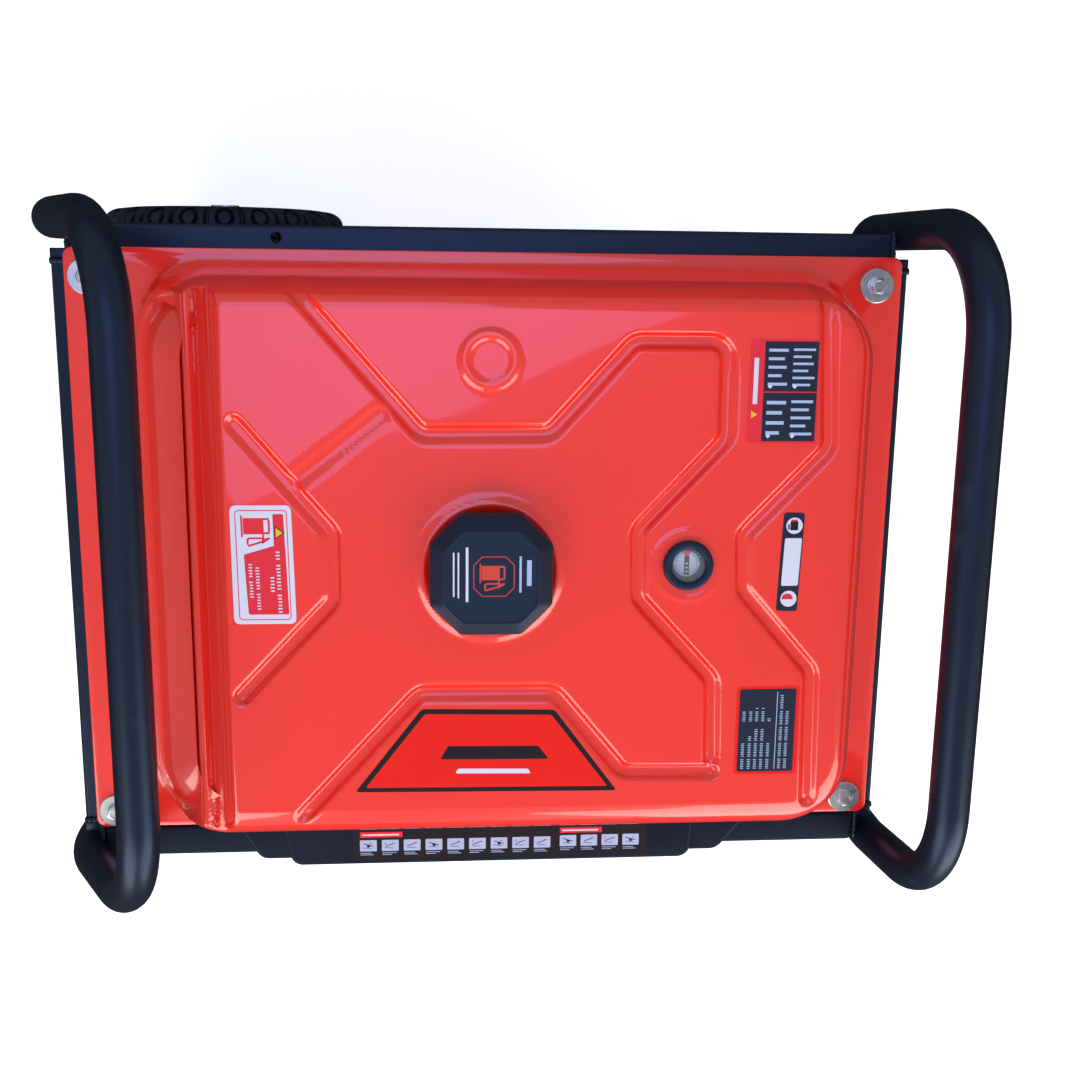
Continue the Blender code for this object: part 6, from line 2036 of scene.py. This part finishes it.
def build_battery():
    """The battery's lid, filler plugs and posts, with their leads along the frame."""
    low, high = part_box("battery")
    bearer_low, bearer_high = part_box("right_bearer")
    bearer_middle = (bearer_low.x + bearer_high.x) / 2
    shape = bmesh.new()
    rounded_box(
        shape,
        (low.x - 1 * MM, low.y - 1 * MM, high.z - 26 * MM),
        (high.x + 1 * MM, high.y + 1 * MM, high.z - 22 * MM),
        1 * MM,
    )
    for i in range(6):
        x = low.x + (high.x - low.x) * (0.16 + 0.136 * i)
        if 160 * MM < x < 184 * MM:  # under the clamp
            continue
        place = Matrix.Translation((x, (low.y + high.y) / 2, high.z - 0.5 * MM))
        add_lathe(
            shape, [(0, 0), (7 * MM, 0), (7 * MM, 2 * MM), (6 * MM, 2.6 * MM), (0, 2.6 * MM)], place, 28
        )
    settle(to_object("battery_lid", shape), grained, crease=32)
    for name, x, finish, slot in (
        ("positive", low.x + 14 * MM, signal, "signal_red"),
        ("negative", high.x - 14 * MM, rubber, "rubber"),
    ):
        y = low.y + 14 * MM
        shape = bmesh.new()
        rounded_box(
            shape,
            (x - 9 * MM, y - 8 * MM, high.z - 1 * MM),
            (x + 9 * MM, y + 8 * MM, high.z + 12 * MM),
            3 * MM,
        )
        ends = [
            (x, y, high.z + 6 * MM),
            (x, y - 20.5 * MM, high.z + 6 * MM),
            (x, y - 20.5 * MM, bearer_high.z + 3 * MM),
        ]
        ends.append((bearer_middle, y - 24 * MM, bearer_high.z + 3 * MM))
        add_pipe(shape, bent_path(ends, [12 * MM, 9 * MM], 8), 3 * MM, 16)
        settle(to_object(f"battery_{name}_lead", shape), finish, crease=32)


# ---------------------------------------------------------------- stage


def build_stage():
    """Floor, lights and camera. Polished faces see a dark felt in place of the floor."""
    shape = bmesh.new()
    bmesh.ops.create_grid(shape, x_segments=1, y_segments=1, size=60)
    floor = to_object("studio_floor", shape)
    pale = mottled("pale_floor", (0.93, 0.93, 0.935), 0.85, 0.8, 0.002, 0.00005, 0.01, Emission_Strength=0.6)
    pale.paint("Emission Color", (1.0, 1.0, 1.0, 1))
    floor.data.materials.append(pale.material)
    floor.location.z = -0.0005
    floor.visible_glossy = False
    shape = bmesh.new()
    bmesh.ops.create_grid(shape, x_segments=1, y_segments=1, size=60)
    flag = to_object("dark_flag", shape)
    flag.data.materials.append(
        mottled("flag_felt", (0.02, 0.02, 0.022), 0.9, 0.8, 0.002, 0.00005, 0.1).material
    )
    flag.location.z = -0.0004
    flag.visible_camera = False
    flag.visible_diffuse = False
    flag.visible_transmission = False
    flag.visible_shadow = False
    scene = bpy.context.scene
    world = bpy.data.worlds.new("studio")
    scene.world = world
    world.use_nodes = True
    background = world.node_tree.nodes["Background"]
    background.inputs["Color"].default_value = (0.93, 0.96, 1.0, 1)
    background.inputs["Strength"].default_value = 0.5
    for name, place, aim, size, power, colour in (
        ("overhead_box", (-0.28, 0.64, 2.6), (-0.2, 0.45, 0.5), (1.25, 1.6), 12, (0.36, 0.46, 1.0)),
        ("side_box", (-1.5, -2.1, 1.9), (0, 0, 0.3), (1.9, 2.0), 43, (1.0, 0.97, 0.93)),
        ("front_box", (1.5, -2.2, 1.5), (0, 0, 0.3), (2.5, 2.0), 53, (1.0, 0.98, 0.95)),
    ):
        lamp = bpy.data.lights.new(name, "AREA")
        lamp.shape = "RECTANGLE"
        lamp.size, lamp.size_y = size
        lamp.energy = power
        lamp.color = colour
        obj = bpy.data.objects.new(name, lamp)
        obj.location = place
        obj.rotation_euler = (Vector(aim) - Vector(place)).to_track_quat("-Z", "Y").to_euler()
        scene.collection.objects.link(obj)
    scene.view_settings.view_transform = "Standard"
    lens = bpy.data.cameras.new("overhead_camera")
    lens.lens = 43.5
    lens.sensor_width = 36
    camera = bpy.data.objects.new("overhead_camera", lens)
    camera.location = (-0.0455, 0.2416, 1.5033)
    camera.rotation_euler = [math.radians(angle) for angle in (-12.14, -4.54, 0.76)]
    scene.collection.objects.link(camera)
    scene.camera = camera


build_stage()
finish_cad_nodes()
build_tank_skin()
build_neck()
build_bolts()
build_tank_labels()
build_cap()
build_gauge()
build_frame()
build_cushions()
for wheel in ("front", "back"):
    build_tyre(wheel)
    build_rim(wheel)
build_feet()
build_panel()
build_panel_labels()
build_sockets()
build_meter()
build_switches()
build_starter()
build_alternator()
build_engine()
build_filter()
build_silencer_guard()
build_battery()
